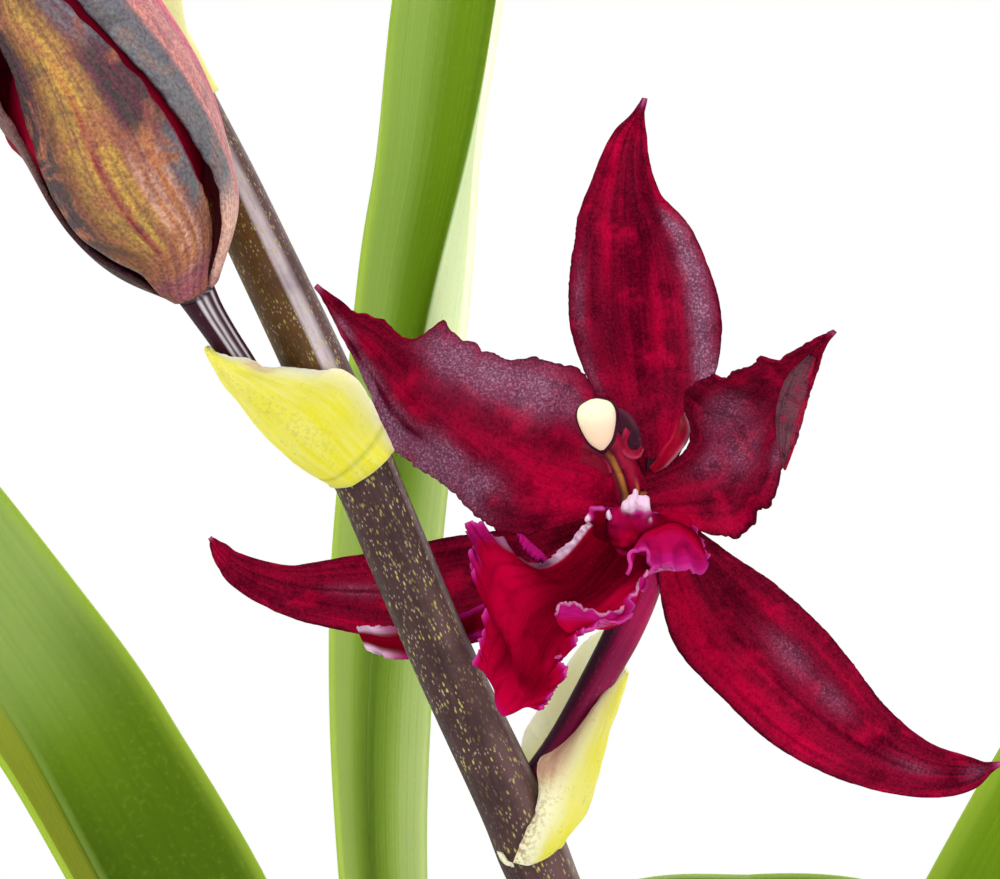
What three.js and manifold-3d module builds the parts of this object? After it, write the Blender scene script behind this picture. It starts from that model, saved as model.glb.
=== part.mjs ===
// A potted orchid of the Oncidium kind: a clay pot of bark, three pseudobulbs with strap leaves, and one
// arching flower spike with an open dark red flower, a bud that is just opening and four closed buds.
// Millimetres. +X is right and -Y is towards the viewer in the flower's front view, +Z is up.
// The origin is the centre of the pot's foot.
import * as THREE from "three";
import { mergeVertices } from "three/addons/utils/BufferGeometryUtils.js";
import Module from "manifold-3d";

const wasm = await Module();
wasm.setup();

// Driving dimensions
const GAP = 0.3; // clearance between pieces that touch on the real plant
const BLADE = 0.7; // thickness of petals, leaves and bracts
const POT = { height: 112, rim: 66, foot: 46, wall: 5, band: 15, lip: 4, floor: 7 };
const DRAIN = { radius: 5.5, ring: 25, count: 3 };
const BARK_TOP = 99; // height of the bark's surface
const FLOWER = [10, -50, 339]; // where the petals, sepals, lip and column meet
const STEM_FOOT = 88; // the spike starts this high, in a hole in the bark

const UP = new THREE.Vector3(0, 0, 1);
const VIEWER = [0, -1, 0];
const plant = new THREE.Group();

const MATERIALS = {
  clay: { color: 0xb5714d, roughness: 0.85 },
  bark: { color: 0x6b4630, roughness: 0.95 },
  bulb: { color: 0x7f9a3d, roughness: 0.5 },
  leaf: { color: 0x4f7d1e, roughness: 0.45 },
  stem: { color: 0x3d2430, roughness: 0.4 },
  bract: { color: 0xd9d84a, roughness: 0.5 },
  stalk: { color: 0x4a1530, roughness: 0.35 },
  petal: { color: 0x7a0a22, roughness: 0.6 },
  lip: { color: 0xa00838, roughness: 0.5 },
  column: { color: 0x6d0c22, roughness: 0.5 },
  cap: { color: 0xf6ecd0, roughness: 0.4 },
  bud: { color: 0x7d5a2c, roughness: 0.5 },
  root: { color: 0xb9bda4, roughness: 0.8 },
};

const vec = (p) => new THREE.Vector3(p[0], p[1], p[2]);
const lerp = (a, b, t) => a + (b - a) * t;
const rad = THREE.MathUtils.degToRad;

// A smooth track through rows of numbers, one row per station, read at t from 0 to 1.
function track(rows) {
  const last = rows.length - 1;
  const at = (i, k) => {
    if (i < 0) return 2 * rows[0][k] - rows[1][k];
    if (i > last) return 2 * rows[last][k] - rows[last - 1][k];
    return rows[i][k];
  };
  return (t) => {
    const s = Math.min(Math.max(t, 0), 1) * last;
    const i = Math.min(Math.floor(s), last - 1);
    const f = s - i;
    return rows[0].map((_, k) => {
      const [a, b, c, d] = [at(i - 1, k), at(i, k), at(i + 1, k), at(i + 2, k)];
      return b + 0.5 * f * (c - a + f * (2 * a - 5 * b + 4 * c - d + f * (3 * (b - c) + d - a)));
    });
  };
}

// A closed body from a flat list of points and a list of triangles.
function geometryOf(points, triangles) {
  const geometry = new THREE.BufferGeometry();
  const places = points.flatMap((p) => [p.x, p.y, p.z]);
  geometry.setAttribute("position", new THREE.Float32BufferAttribute(places, 3));
  geometry.setIndex(triangles.flat());
  return geometry;
}

function solidOf(geometry) {
  const bare = new THREE.BufferGeometry();
  bare.setAttribute("position", geometry.toNonIndexed().getAttribute("position"));
  const merged = mergeVertices(bare, 1e-4);
  const made = new wasm.Manifold(
    new wasm.Mesh({
      numProp: 3,
      vertProperties: new Float32Array(merged.attributes.position.array),
      triVerts: new Uint32Array(merged.index.array),
    }),
  );
  return made;
}

function geometryFrom(solid) {
  const mesh = solid.getMesh();
  const geometry = new THREE.BufferGeometry();
  geometry.setAttribute("position", new THREE.BufferAttribute(new Float32Array(mesh.vertProperties), 3));
  geometry.setIndex(new THREE.BufferAttribute(new Uint32Array(mesh.triVerts), 1));
  return geometry;
}

// The largest body of a solid, which drops the crumbs that a cut can leave.
function largest(solid) {
  return solid.decompose().sort((a, b) => b.volume() - a.volume())[0];
}

// A grid of points, rows along the piece and columns across it.
function grid(along, across, place) {
  const rows = [];
  for (let i = 0; i <= along; i++) {
    const row = [];
    for (let j = 0; j <= across; j++) row.push(place(i / along, (2 * j) / across - 1));
    rows.push(row);
  }
  return rows;
}

// A thin sheet of even thickness around a grid of points, closed at its rim.
function sheet(rows, thickness = BLADE) {
  const n = rows.length;
  const m = rows[0].length;
  const normal = (i, j) => {
    const du = rows[Math.min(i + 1, n - 1)][j].clone().sub(rows[Math.max(i - 1, 0)][j]);
    const dv = rows[i][Math.min(j + 1, m - 1)].clone().sub(rows[i][Math.max(j - 1, 0)]);
    return dv.cross(du).normalize();
  };
  const front = [];
  const back = [];
  for (let i = 0; i < n; i++)
    for (let j = 0; j < m; j++) {
      const offset = normal(i, j).multiplyScalar(thickness / 2);
      front.push(rows[i][j].clone().add(offset));
      back.push(rows[i][j].clone().sub(offset));
    }
  const f = (i, j) => i * m + j;
  const b = (i, j) => n * m + i * m + j;
  const triangles = [];
  for (let i = 0; i < n - 1; i++)
    for (let j = 0; j < m - 1; j++) {
      triangles.push([f(i, j), f(i, j + 1), f(i + 1, j + 1)], [f(i, j), f(i + 1, j + 1), f(i + 1, j)]);
      triangles.push([b(i, j), b(i + 1, j + 1), b(i, j + 1)], [b(i, j), b(i + 1, j), b(i + 1, j + 1)]);
    }
  const rim = [];
  for (let j = 0; j < m - 1; j++) rim.push([0, j]);
  for (let i = 0; i < n - 1; i++) rim.push([i, m - 1]);
  for (let j = m - 1; j > 0; j--) rim.push([n - 1, j]);
  for (let i = n - 1; i > 0; i--) rim.push([i, 0]);
  rim.forEach(([i, j], k) => {
    const [p, q] = rim[(k + 1) % rim.length];
    triangles.push([f(i, j), b(p, q), f(p, q)], [f(i, j), b(i, j), b(p, q)]);
  });
  return geometryOf([...front, ...back], triangles);
}

// A closed body through rings of points, each ring counter-clockwise as seen from the end.
function loft(rings) {
  const m = rings[0].length;
  const points = rings.flat();
  const triangles = [];
  for (let i = 0; i < rings.length - 1; i++)
    for (let j = 0; j < m; j++) {
      const [a, b] = [i * m + j, i * m + ((j + 1) % m)];
      triangles.push([a, b, b + m], [a, b + m, a + m]);
    }
  [0, rings.length - 1].forEach((i) => {
    const centre = rings[i].reduce((sum, p) => sum.add(p), new THREE.Vector3()).multiplyScalar(1 / m);
    points.push(centre);
    for (let j = 0; j < m; j++) {
      const [a, b] = [i * m + j, i * m + ((j + 1) % m)];
      triangles.push(i === 0 ? [b, a, points.length - 1] : [a, b, points.length - 1]);
    }
  });
  return geometryOf(points, triangles);
}

// The frame at a place on a track: the point, its tangent, the side at the viewer's right and the face
// normal.
function frameAt(path, t, facing) {
  const step = 1e-3;
  const point = vec(path(t));
  const tangent = vec(path(Math.min(t + step, 1))).sub(vec(path(Math.max(t - step, 0)))).normalize();
  const side = tangent.clone().cross(vec(facing)).normalize();
  return { point, tangent, side, face: side.clone().cross(tangent) };
}

// A round rod with a changing radius. Stations are [x, y, z, radius]. Extra grows it all round and at its
// ends.
function rod(stations, options = {}) {
  const { steps = 24, sides = 10, extra = 0, section = () => 1, facing = [0.3, -1, 0.1] } = options;
  const path = track(stations);
  const rings = [];
  for (let i = 0; i <= steps; i++) {
    const t = i / steps;
    const { point, tangent, side, face } = frameAt(path, t, facing);
    const radius = path(t)[3] + extra;
    if (i === 0) point.addScaledVector(tangent, -extra);
    if (i === steps) point.addScaledVector(tangent, extra);
    const ring = [];
    for (let k = 0; k < sides; k++) {
      const a = (2 * Math.PI * k) / sides;
      const r = radius * section(t, a);
      const across = side.clone().multiplyScalar(r * Math.cos(a));
      ring.push(across.add(point).addScaledVector(face, -r * Math.sin(a)));
    }
    rings.push(ring);
  }
  return loft(rings);
}

// Wave of a frilled margin: none at the middle of the blade, full at its edge. It fades at the base and
// the tip.
function frill(t, v, { height = 0, waves = 8, phase = 0, lean = 0 }) {
  const edge = Math.abs(v) ** 3;
  const fade = Math.min(1, t * 6, (1 - t) * 4);
  const turn = 2 * Math.PI * waves * t + phase + lean * Math.sign(v);
  return height * edge * fade * (Math.sin(turn) + 0.35 * Math.sin(2.3 * turn + 1));
}

// A blade on a spine. Stations are [x, y, z, width left, width right, lift left, lift right]: widths are
// seen from the facing side with the tip up, and a lift brings that edge towards the facing side.
function blade(stations, options = {}) {
  const { facing = VIEWER, along = 18, across = 6, crease = 0, wave = {}, at = [0, 0, 0] } = options;
  const path = track(stations);
  return grid(along, across, (t, v) => {
    const { point, side, face } = frameAt(path, t, typeof facing === "function" ? facing(t) : facing);
    const [wide, lift] = v < 0 ? [path(t)[3], path(t)[5]] : [path(t)[4], path(t)[6]];
    const rise = lift * (crease * Math.abs(v) + (1 - crease) * v * v) + frill(t, v, wave);
    return point
      .add(vec(at))
      .addScaledVector(side, Math.max(wide, 0.3) * v)
      .addScaledVector(face, rise);
  });
}

// A sheath or boat-shaped bract round a track. Stations are [x, y, z, near radius, far radius, first angle,
// last angle]. Angles are in degrees from the out direction and grow away from the viewer. At its foot the
// bract stands square to the stem, and a slant lowers the near side there.
function trough(stations, out, { along = 10, across = 8, slant = 0, stem, place = (p) => p } = {}) {
  const path = track(stations);
  return grid(along, across, (t, v) => {
    const [x, y, z, near, far, first, last] = path(t);
    const a = rad(lerp(first, last, (v + 1) / 2));
    const r = a < 0 ? near : lerp(near, far, (1 - Math.cos(a)) / 2);
    const ahead = vec(path(Math.min(t + 1e-3, 1))).sub(vec(path(Math.max(t - 1e-3, 0)))).normalize();
    if (stem) ahead.lerp(stem, 1 - t).normalize();
    const outward = vec(out).addScaledVector(ahead, -ahead.dot(vec(out))).normalize();
    const away = ahead.clone().cross(outward);
    if (away.y < 0) away.negate();
    const point = new THREE.Vector3(x, y, z)
      .addScaledVector(outward, r * Math.cos(a))
      .addScaledVector(away, r * Math.sin(a))
      .addScaledVector(ahead, slant * (1 - t) ** 4 * Math.sin(a));
    return place(point);
  });
}

function add(name, material, geometry) {
  const finish = new THREE.MeshStandardMaterial({ metalness: 0, ...MATERIALS[material] });
  const mesh = new THREE.Mesh(geometry, finish);
  mesh.name = name;
  plant.add(mesh);
  return mesh;
}

// Pot: a thrown clay pot with a rim band and drain holes round the middle of its floor
const potShoulder = POT.height - POT.band;
const potOutside = (z) => lerp(POT.foot, POT.rim - POT.lip, z / potShoulder);
const potInside = (z) => {
  const up = (z - POT.floor) / (potShoulder - POT.floor);
  return lerp(POT.foot - 7, POT.rim - POT.lip - POT.wall, up);
};
{
  const profile = [
    [0, 0],
    [POT.foot - 2, 0],
    [POT.foot, 2],
    [potOutside(potShoulder), potShoulder],
    [POT.rim - 1, potShoulder],
    [POT.rim, potShoulder + 1.5],
    [POT.rim, POT.height - 2],
    [POT.rim - 1.6, POT.height],
    [POT.rim - POT.wall + 1, POT.height],
    [potInside(potShoulder), potShoulder],
    [potInside(POT.floor), POT.floor],
    [0, POT.floor],
  ].map(([r, z]) => new THREE.Vector2(r, z));
  const turned = new THREE.LatheGeometry(profile, 36).rotateX(Math.PI / 2);
  let pot = solidOf(turned);
  const drill = new THREE.CylinderGeometry(DRAIN.radius, DRAIN.radius, 4 * POT.floor, 16);
  drill.rotateX(Math.PI / 2);
  for (let k = 0; k < DRAIN.count; k++) {
    const a = (2 * Math.PI * k) / DRAIN.count + 0.5;
    pot = pot.subtract(solidOf(drill).translate([DRAIN.ring * Math.cos(a), DRAIN.ring * Math.sin(a), 0]));
  }
  add("pot", "clay", geometryFrom(pot));
}

// Pseudobulbs: flattened egg-shaped storage stems that stand half sunk in the bark
const BULBS = [
  { name: "pseudobulb_front", at: [3, -7], tall: 74, wide: 19, deep: 10.5, turn: 4 },
  { name: "pseudobulb_middle", at: [-1, 16], tall: 70, wide: 18, deep: 10, turn: -6 },
  { name: "pseudobulb_back", at: [-5, 38], tall: 62, wide: 16.5, deep: 9.5, turn: 8 },
];
const BULB_FOOT = BARK_TOP - 5;
const bulbShape = track([[0.3], [0.62], [0.9], [1], [0.95], [0.78], [0.52], [0.27]]);
function bulbBody({ at, tall, wide, deep, turn }, extra = 0) {
  const rings = [];
  const [steps, sides] = [9, 14];
  for (let i = 0; i <= steps; i++) {
    const t = i / steps;
    const [r] = bulbShape(t);
    const ring = [];
    for (let k = 0; k < sides; k++) {
      const a = (2 * Math.PI * k) / sides;
      const groove = 1 + 0.025 * Math.cos(7 * a) * Math.sin(Math.PI * t);
      ring.push(
        new THREE.Vector3(
          (r * wide * groove + extra) * Math.cos(a),
          (r * deep * groove + extra) * Math.sin(a),
          BULB_FOOT - extra + t * (tall + 2 * extra),
        )
          .applyAxisAngle(UP, rad(turn))
          .add(new THREE.Vector3(...at, 0)),
      );
    }
    rings.push(ring);
  }
  return loft(rings);
}
BULBS.forEach((bulb) => add(bulb.name, "bulb", bulbBody(bulb)));

// Flower spike: a slim round stem that leaves the bark beside the front bulb and arches to the left.
// Stations are [x, y, z, radius].
const SPIKE = [
  [8.5, -21, STEM_FOOT, 3.6],
  [12.5, -23.5, 112, 3.8],
  [19.6, -30, 149, 3.5],
  [22.8, -40, 199, 3.3],
  [16.6, -50, 249, 3.2],
  [6.9, -55.5, 282, 3.2],
  [-1.7, -58, 304.5, 3.3],
  [-10.4, -59, 323.4, 3.1],
  [-18.9, -60, 343.3, 3.15],
  [-27.2, -61.5, 361.3, 3.05],
  [-35.5, -63, 378.3, 2.9],
  [-50.8, -65.5, 403, 2.5],
  [-66, -67.5, 424, 2.1],
  [-82, -69, 441, 1.7],
  [-92, -70, 449.5, 1.3],
];
const spikeRod = (extra = 0) => rod(SPIKE, { steps: 38, sides: 12, extra });
add("flower_spike", "stem", spikeRod());
const spikeClear = solidOf(spikeRod(GAP));
const spikeAt = track(SPIKE);
const onSpike = (station) => frameAt(spikeAt, station / (SPIKE.length - 1), VIEWER);
// A piece that springs from the spike, cut back to sit against it.
const onStem = (geometry) => geometryFrom(largest(solidOf(geometry).subtract(spikeClear)));

// Bract round the flower's node: it wraps the spike, then opens to the right round the flower's stalk
const FLOWER_BRACT = [
  [-1.9, -58, 304.5, 4.3, 4.3, -105, 236],
  [-1.8, -58, 306.6, 4.6, 5, -88, 160],
  [-0.8, -57.7, 309.6, 4.7, 5.2, -95, 130],
  [0.3, -56.8, 312.6, 4.6, 5.4, -103, 132],
  [2, -55.7, 316, 4, 5.4, -90, 148],
  [4.2, -53.4, 319.5, 3, 4.6, -66, 148],
  [6.3, -51.3, 323.2, 2.75, 4.4, -35, 146],
  [7.6, -49.8, 325.9, 2.4, 3.1, 55, 142],
  [8.3, -49.2, 327.4, 2.5, 2.7, 82, 118],
];
const FLOWER_NODE = { along: 11, across: 8, slant: 1.2, stem: onSpike(6).tangent };
add("flower_bract", "bract", sheet(trough(FLOWER_BRACT, [1, 0, -0.45], FLOWER_NODE)));

// Bract round the opening bud's node: it wraps the spike and points to the left under the bud's stalk
const BUD_BRACT = [
  [-18.7, -60, 342.6, 4.15, 4.15, -178, 174],
  [-19.8, -60.2, 344.7, 4.35, 4.4, -176, 168],
  [-21.5, -60.6, 346.8, 5.1, 5.2, -168, 145],
  [-23.3, -61.6, 349.5, 5.9, 5.9, -140, 110],
  [-26.4, -63.4, 351.3, 4.6, 4.7, -105, 85],
  [-28.8, -65.2, 352.6, 3.4, 3.4, -85, 70],
  [-30.8, -66.8, 353.3, 2.2, 2.2, -75, 50],
  [-32.1, -68.1, 353.7, 1.2, 1.2, -70, 35],
  [-33.1, -69.1, 354.3, 0.5, 0.5, -70, 40],
];
const BUD_NODE = { along: 12, across: 8, slant: 1.3, stem: onSpike(8).tangent };
add("bud_bract", "bract", sheet(trough(BUD_BRACT, [-0.8, 0, -0.6], BUD_NODE)));

// Upper bracts and lower sheaths repeat one shape each. Stations are in the node's own frame and unit: x
// out from the spike, z along it.
const PLAIN_BRACT = [
  [0, 0, 0, 1.27, 1.27, -168, 168],
  [0, 0, 0.7, 1.27, 1.27, -158, 158],
  [0.03, 0, 1.5, 1.3, 1.3, -124, 124],
  [0.1, 0, 2.4, 1.28, 1.28, -92, 92],
  [0.38, 0, 3.5, 1.2, 1.2, -75, 75],
  [0.98, 0, 4.8, 1.12, 1.12, -70, 70],
  [1.9, 0, 6, 0.8, 0.8, -70, 70],
  [2.75, 0, 6.9, 0.3, 0.3, -60, 60],
];
const LOW_SHEATH = [
  [0, 0, 0, 1.27, 1.27, -168, 168],
  [0, 0, 1.3, 1.27, 1.27, -162, 162],
  [0, 0, 2.6, 1.29, 1.29, -122, 122],
  [0.05, 0, 3.9, 1.27, 1.27, -76, 76],
  [0.1, 0, 5, 1.24, 1.24, -36, 36],
  [0.2, 0, 5.6, 1.2, 1.2, -12, 12],
];
// The frame of a node at a station of the spike, whose unit is a little over the spike's radius there.
function nodeFrame(station, sign) {
  const { point, tangent, side } = onSpike(station);
  const unit = spikeAt(station / (SPIKE.length - 1))[3] + GAP;
  const out = side.multiplyScalar(sign);
  const away = new THREE.Vector3().crossVectors(tangent, out).normalize();
  return { point, tangent, out, away, unit };
}
function nodePlace({ point, tangent, out, away, unit }) {
  return (p) =>
    point
      .clone()
      .addScaledVector(out, p.x * unit)
      .addScaledVector(away, p.y * unit)
      .addScaledVector(tangent, p.z * unit);
}
const UPPER_NODES = [
  { name: "upper_1", station: 10, sign: 1, bud: 25, stalk: 15 },
  { name: "upper_2", station: 11.1, sign: -1, bud: 20, stalk: 12 },
  { name: "upper_3", station: 12.1, sign: 1, bud: 16, stalk: 9 },
];
const LOWER_NODES = [
  { name: "lower_1", station: 1.9, sign: -1 },
  { name: "lower_2", station: 3.9, sign: 1 },
];

const budShape = track([[0.3], [0.72], [0.95], [1], [0.88], [0.62], [0.36], [0.08]]);
// A closed bud: three sepals pressed together, so its section has three soft ridges.
function closedBud(foot, aim, length) {
  const rows = [0, 0.35, 0.7, 1].map((s) => {
    const p = foot.clone().addScaledVector(aim, s * length);
    return [p.x, p.y, p.z, 1];
  });
  const radius = 0.19 * length;
  const section = (t, a) => radius * budShape(t)[0] * (1 + 0.07 * Math.cos(3 * a));
  return rod(rows, { steps: 8, sides: 9, section });
}
UPPER_NODES.forEach(({ name, station, sign, bud, stalk }) => {
  const node = nodeFrame(station, sign);
  const place = nodePlace(node);
  add(`${name}_bract`, "bract", sheet(trough(PLAIN_BRACT, [1, 0, 0], { along: 7, across: 8, place })));
  const aim = node.tangent.clone().addScaledVector(node.out, 0.45).normalize();
  const rows = [
    [0.45, 2],
    [1, 3.4],
    [1.5, 4.9],
  ].map(([x, z]) => place(new THREE.Vector3(x, 0, z)));
  rows.push(rows[2].clone().addScaledVector(aim, 0.5 * stalk), rows[2].clone().addScaledVector(aim, stalk));
  const thin = 0.31 * node.unit;
  const stalkRod = rod(rows.map((p) => [...p, thin]), { steps: 6, sides: 8 });
  add(`${name}_stalk`, "stalk", onStem(stalkRod));
  const foot = rows[4].clone().addScaledVector(aim, GAP);
  add(`${name}_bud`, "bud", closedBud(foot, aim, bud));
});
LOWER_NODES.forEach(({ name, station, sign }) => {
  const place = nodePlace(nodeFrame(station, sign));
  add(`${name}_sheath`, "bract", sheet(trough(LOW_SHEATH, [1, 0, 0], { along: 6, across: 8, place })));
});
{
  const { point, tangent } = onSpike(SPIKE.length - 1);
  add("tip_bud", "bud", closedBud(point.clone().addScaledVector(tangent, GAP), tangent, 11));
}

// Opening bud: its stalk, three sepals that still hold together at the tip, and the red petals inside
const BUD_STALK = [
  [-20.5, -60.8, 346.3, 1.5],
  [-23.8, -62.2, 349.2, 1.5],
  [-27.2, -64, 351.4, 1.5],
  [-30, -65.8, 353.4, 1.55],
  [-32.3, -67.6, 356, 1.6],
  [-33.9, -69.3, 358.8, 1.9],
];
add("bud_stalk", "stalk", onStem(rod(BUD_STALK, { steps: 9, sides: 9 })));
const BUD_AXIS = track([
  [-34.3, -69.9, 359.4],
  [-39.1, -73.9, 368],
  [-41.7, -76.2, 377.6],
  [-46, -77.4, 387.2],
  [-51.5, -77.8, 396.5],
]);
// Sepals of the bud. Stations run from the foot to the tip: [radius, angle of the left margin, angle of the
// right margin]. Zero faces the viewer and a positive angle turns to the right.
const BUD_SEPALS = {
  bud_sepal_near: [
    [2.2, -70, 27],
    [6.4, -72, 26],
    [8.9, -84, 35],
    [9.25, -60, 37],
    [9.3, -73, 31],
    [8.9, -63, 15],
    [7.9, -64, -1],
    [5.4, -60, -9],
    [1.3, -55, -20],
  ],
  bud_sepal_right: [
    [2.2, 50, 150],
    [6.6, 54, 156],
    [8.6, 56, 158],
    [9.2, 54, 160],
    [9.2, 36, 160],
    [8.7, 22, 160],
    [7.7, 8, 158],
    [5.2, 2, 150],
    [1.3, 10, 130],
  ],
  bud_sepal_left: [
    [2.2, -170, -96],
    [6.6, -172, -94],
    [8.5, -174, -89],
    [10.3, -174, -74],
    [11.5, -172, -66],
    [11.1, -172, -66],
    [9.1, -172, -68],
    [6, -172, -70],
    [1.5, -180, -95],
  ],
};
function budPoint(t, angle, radius) {
  const { point, side, face } = frameAt(BUD_AXIS, t, VIEWER);
  point.addScaledVector(side, radius * Math.sin(angle));
  return point.addScaledVector(face, radius * Math.cos(angle));
}
Object.entries(BUD_SEPALS).forEach(([name, stations]) => {
  const shape = track(stations);
  const rows = grid(14, 5, (t, v) => {
    const [radius, left, right] = shape(t);
    return budPoint(t, rad(lerp(left, right, (v + 1) / 2)), radius);
  });
  add(name, "bud", sheet(rows));
});
{
  // The petals fill the bud, and bulge out between the near and the left sepal.
  const shape = track(BUD_SEPALS.bud_sepal_near);
  const rings = [];
  const [steps, sides] = [10, 16];
  for (let i = 0; i <= steps; i++) {
    const t = lerp(0.05, 0.9, i / steps);
    const bulge = 2.5 * Math.exp(-(((t - 0.5) / 0.12) ** 2));
    const ring = [];
    for (let k = 0; k < sides; k++) {
      const a = (2 * Math.PI * k) / sides;
      const towards = Math.max(0, Math.cos(a - rad(-108))) ** 10;
      ring.push(budPoint(t, a, shape(t)[0] - 1.25 + bulge * towards));
    }
    rings.push(ring);
  }
  add("bud_petals", "petal", loft(rings));
}

// Open flower. Stations are in millimetres from the point where its parts meet.
// [x, y, z, width left, width right, lift left, lift right]
const DORSAL_SEPAL = [
  [0.6, 1.8, 1.8, 0.9, 0.8, 0, 0],
  [0.8, 2.3, 5.8, 3.4, 3.2, 0.4, 0.9],
  [0.4, 3.0, 10.8, 5.7, 6.2, -0.3, -0.3],
  [-0.1, 3.4, 17.9, 7.6, 7.6, -1.2, -1.5],
  [-0.7, 3.0, 24.9, 6.9, 5.9, -1.0, -1.2],
  [-1.5, 1.8, 30.0, 4.8, 3.1, -0.5, -0.5],
  [-1.6, 0.2, 34.8, 2.5, 2.0, 0, 0],
  [-0.4, -2.0, 39.8, 0.35, 0.35, 0, 0],
];
const LEFT_PETAL = [
  [-2.1, -0.3, 1.1, 0.9, 0.8, 0.2, 0.2],
  [-4.8, -1.4, 2.8, 5.2, 3.8, 0.4, 0.4],
  [-9.6, -1.0, 5.2, 9.4, 6.9, -0.6, 0],
  [-14.0, 0.0, 7.6, 9.2, 6.8, -1.8, -0.5],
  [-18.5, 1.2, 10.3, 8.4, 5.6, -2.6, -0.8],
  [-22.8, 2.6, 13.4, 7.0, 4.4, -2.4, -0.8],
  [-26.6, 4.2, 15.9, 4.2, 2.0, -1.4, -0.4],
  [-30.2, 6.0, 18.4, 1.7, 0.8, -0.4, 0],
  [-33.5, 8.0, 21.4, 0.35, 0.35, 0, 0],
];
const RIGHT_PETAL = [
  [1.2, -0.3, 1.2, 0.8, 0.9, 0.1, 0.2],
  [4.6, 0.4, 2.6, 2.6, 6.3, 0.4, 0.6],
  [7.8, 0.0, 4.8, 6.9, 7.0, 1.2, 1.0],
  [10.6, -2.2, 7.4, 6.9, 4.7, 1.4, 0.8],
  [12.8, -6.0, 10.2, 4.9, 3.2, 1.2, 0.6],
  [14.6, -10.5, 13.0, 2.4, 1.9, 0.6, 0.4],
  [16.2, -13.0, 15.0, 0.9, 0.9, 0.2, 0.2],
  [17.6, -15.0, 16.3, 0.35, 0.35, 0, 0],
];
const RIGHT_SEPAL = [
  [1.6, 1.3, -1.7, 0.9, 0.8, 0, 0],
  [4.2, 1.2, -6.6, 3.5, 3.6, 0.7, 0.7],
  [7.4, 0.2, -11.6, 5.7, 5.6, 1.1, 1.0],
  [11.6, -1.8, -16.5, 6.6, 5.4, 1.2, 1.1],
  [16.2, -4.0, -20.9, 6.1, 5.1, 1.2, 1.1],
  [21.0, -6.0, -24.3, 4.5, 4.0, 1.0, 0.9],
  [26.0, -8.0, -26.5, 3.1, 2.8, 0.8, 0.8],
  [30.8, -9.5, -26.8, 1.7, 1.9, 0.6, 0.6],
  [34.2, -10.5, -25.9, 0.35, 0.35, 0, 0],
];
const LEFT_SEPAL = [
  [-1.4, 1.6, -1.6, 0.8, 0.8, 0, 0],
  [-6.2, 3.0, -5.0, 3.6, 3.6, 0.6, 0.6],
  [-12.3, 3.6, -7.9, 4.5, 5.0, 0.9, 0.8],
  [-18.3, 4.2, -9.1, 5.6, 5.3, 1.0, 1.0],
  [-24.4, 5.2, -9.6, 5.0, 4.6, 1.0, 1.0],
  [-30.5, 6.6, -9.6, 3.8, 3.5, 0.9, 0.9],
  [-36.1, 8.0, -9.0, 3.0, 2.1, 0.8, 0.8],
  [-40.8, 9.5, -7.4, 2.0, 1.3, 0.6, 0.6],
  [-43.2, 10.5, -5.6, 1.1, 0.8, 0.3, 0.3],
  [-44.4, 11.0, -4.2, 0.35, 0.35, 0, 0],
];
const PETAL_OPTIONS = { at: FLOWER, along: 18, across: 6 };
const tepals = [
  ["dorsal_sepal", DORSAL_SEPAL, { wave: { height: 0.25, waves: 4, phase: 1 } }],
  ["left_petal", LEFT_PETAL, { wave: { height: 0.55, waves: 6.5, phase: 0.6, lean: 0.8 } }],
  ["right_petal", RIGHT_PETAL, { wave: { height: 0.55, waves: 5.5, phase: 2, lean: 1.2 } }],
  ["right_sepal", RIGHT_SEPAL, { crease: 0.7, wave: { height: 0.25, waves: 5, phase: 0.3 } }],
  ["left_sepal", LEFT_SEPAL, { crease: 0.7, wave: { height: 0.25, waves: 5, phase: 2.2 } }],
];
tepals.forEach(([name, stations, options]) =>
  add(name, "petal", sheet(blade(stations, { ...PETAL_OPTIONS, ...options }))),
);

// Lip: five lines run from its claw to its apex, from the left margin to the right margin.
// Each row is one station with those five points, from the point where the flower's parts meet.
const LIP = [
  [[-1.5, -2.6, -1.4], [-1.1, -2.4, -1.6], [-0.6, -2.2, -1.7], [-0.1, -2.2, -1.6], [0.4, -2.6, -1.4]],
  [[-5.4, -8.0, -1.2], [-3.7, -6.0, -2.5], [-1.9, -5.0, -4.1], [1.0, -5.0, -3.1], [4.5, -4.0, -2.7]],
  [[-6.9, -7.0, -3.1], [-5.6, -9.5, -4.8], [-3.8, -9.0, -6.5], [0.9, -8.0, -5.6], [5.4, -6.0, -6.3]],
  [[-11.9, -8.0, -6.3], [-8.9, -11.5, -7.7], [-6.0, -12.5, -8.8], [-3.1, -13.0, -8.8], [-0.2, -13.0, -7.6]],
  [[-14.7, -9.0, -3.5], [-11.9, -12.5, -7.4], [-9.0, -14.5, -10.7], [-5.6, -15.5, -10.9],
    [-1.8, -15.0, -10.9]],
  [[-18.0, -7.5, -1.7], [-14.3, -12.0, -7.9], [-10.9, -15.5, -13.1], [-9.0, -16.0, -13.4],
    [-7.3, -17.0, -12.2]],
  [[-17.4, -9.0, -6.2], [-14.8, -13.5, -11.7], [-12.1, -16.5, -16.2], [-10.2, -17.0, -16.2],
    [-8.2, -17.0, -14.5]],
  [[-15.4, -11.0, -9.8], [-14.8, -14.5, -14.6], [-12.9, -17.0, -18.2], [-11.1, -17.0, -18.3],
    [-9.0, -17.0, -17.4]],
  [[-16.7, -13.0, -13.7], [-15.3, -15.5, -16.7], [-13.4, -17.3, -19.3], [-11.9, -17.0, -19.5],
    [-10.1, -17.0, -18.9]],
  [[-16.2, -14.0, -16.9], [-15.2, -15.8, -18.6], [-14.2, -17.0, -20.4], [-12.7, -17.0, -20.0],
    [-10.9, -17.0, -20.0]],
];
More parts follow.
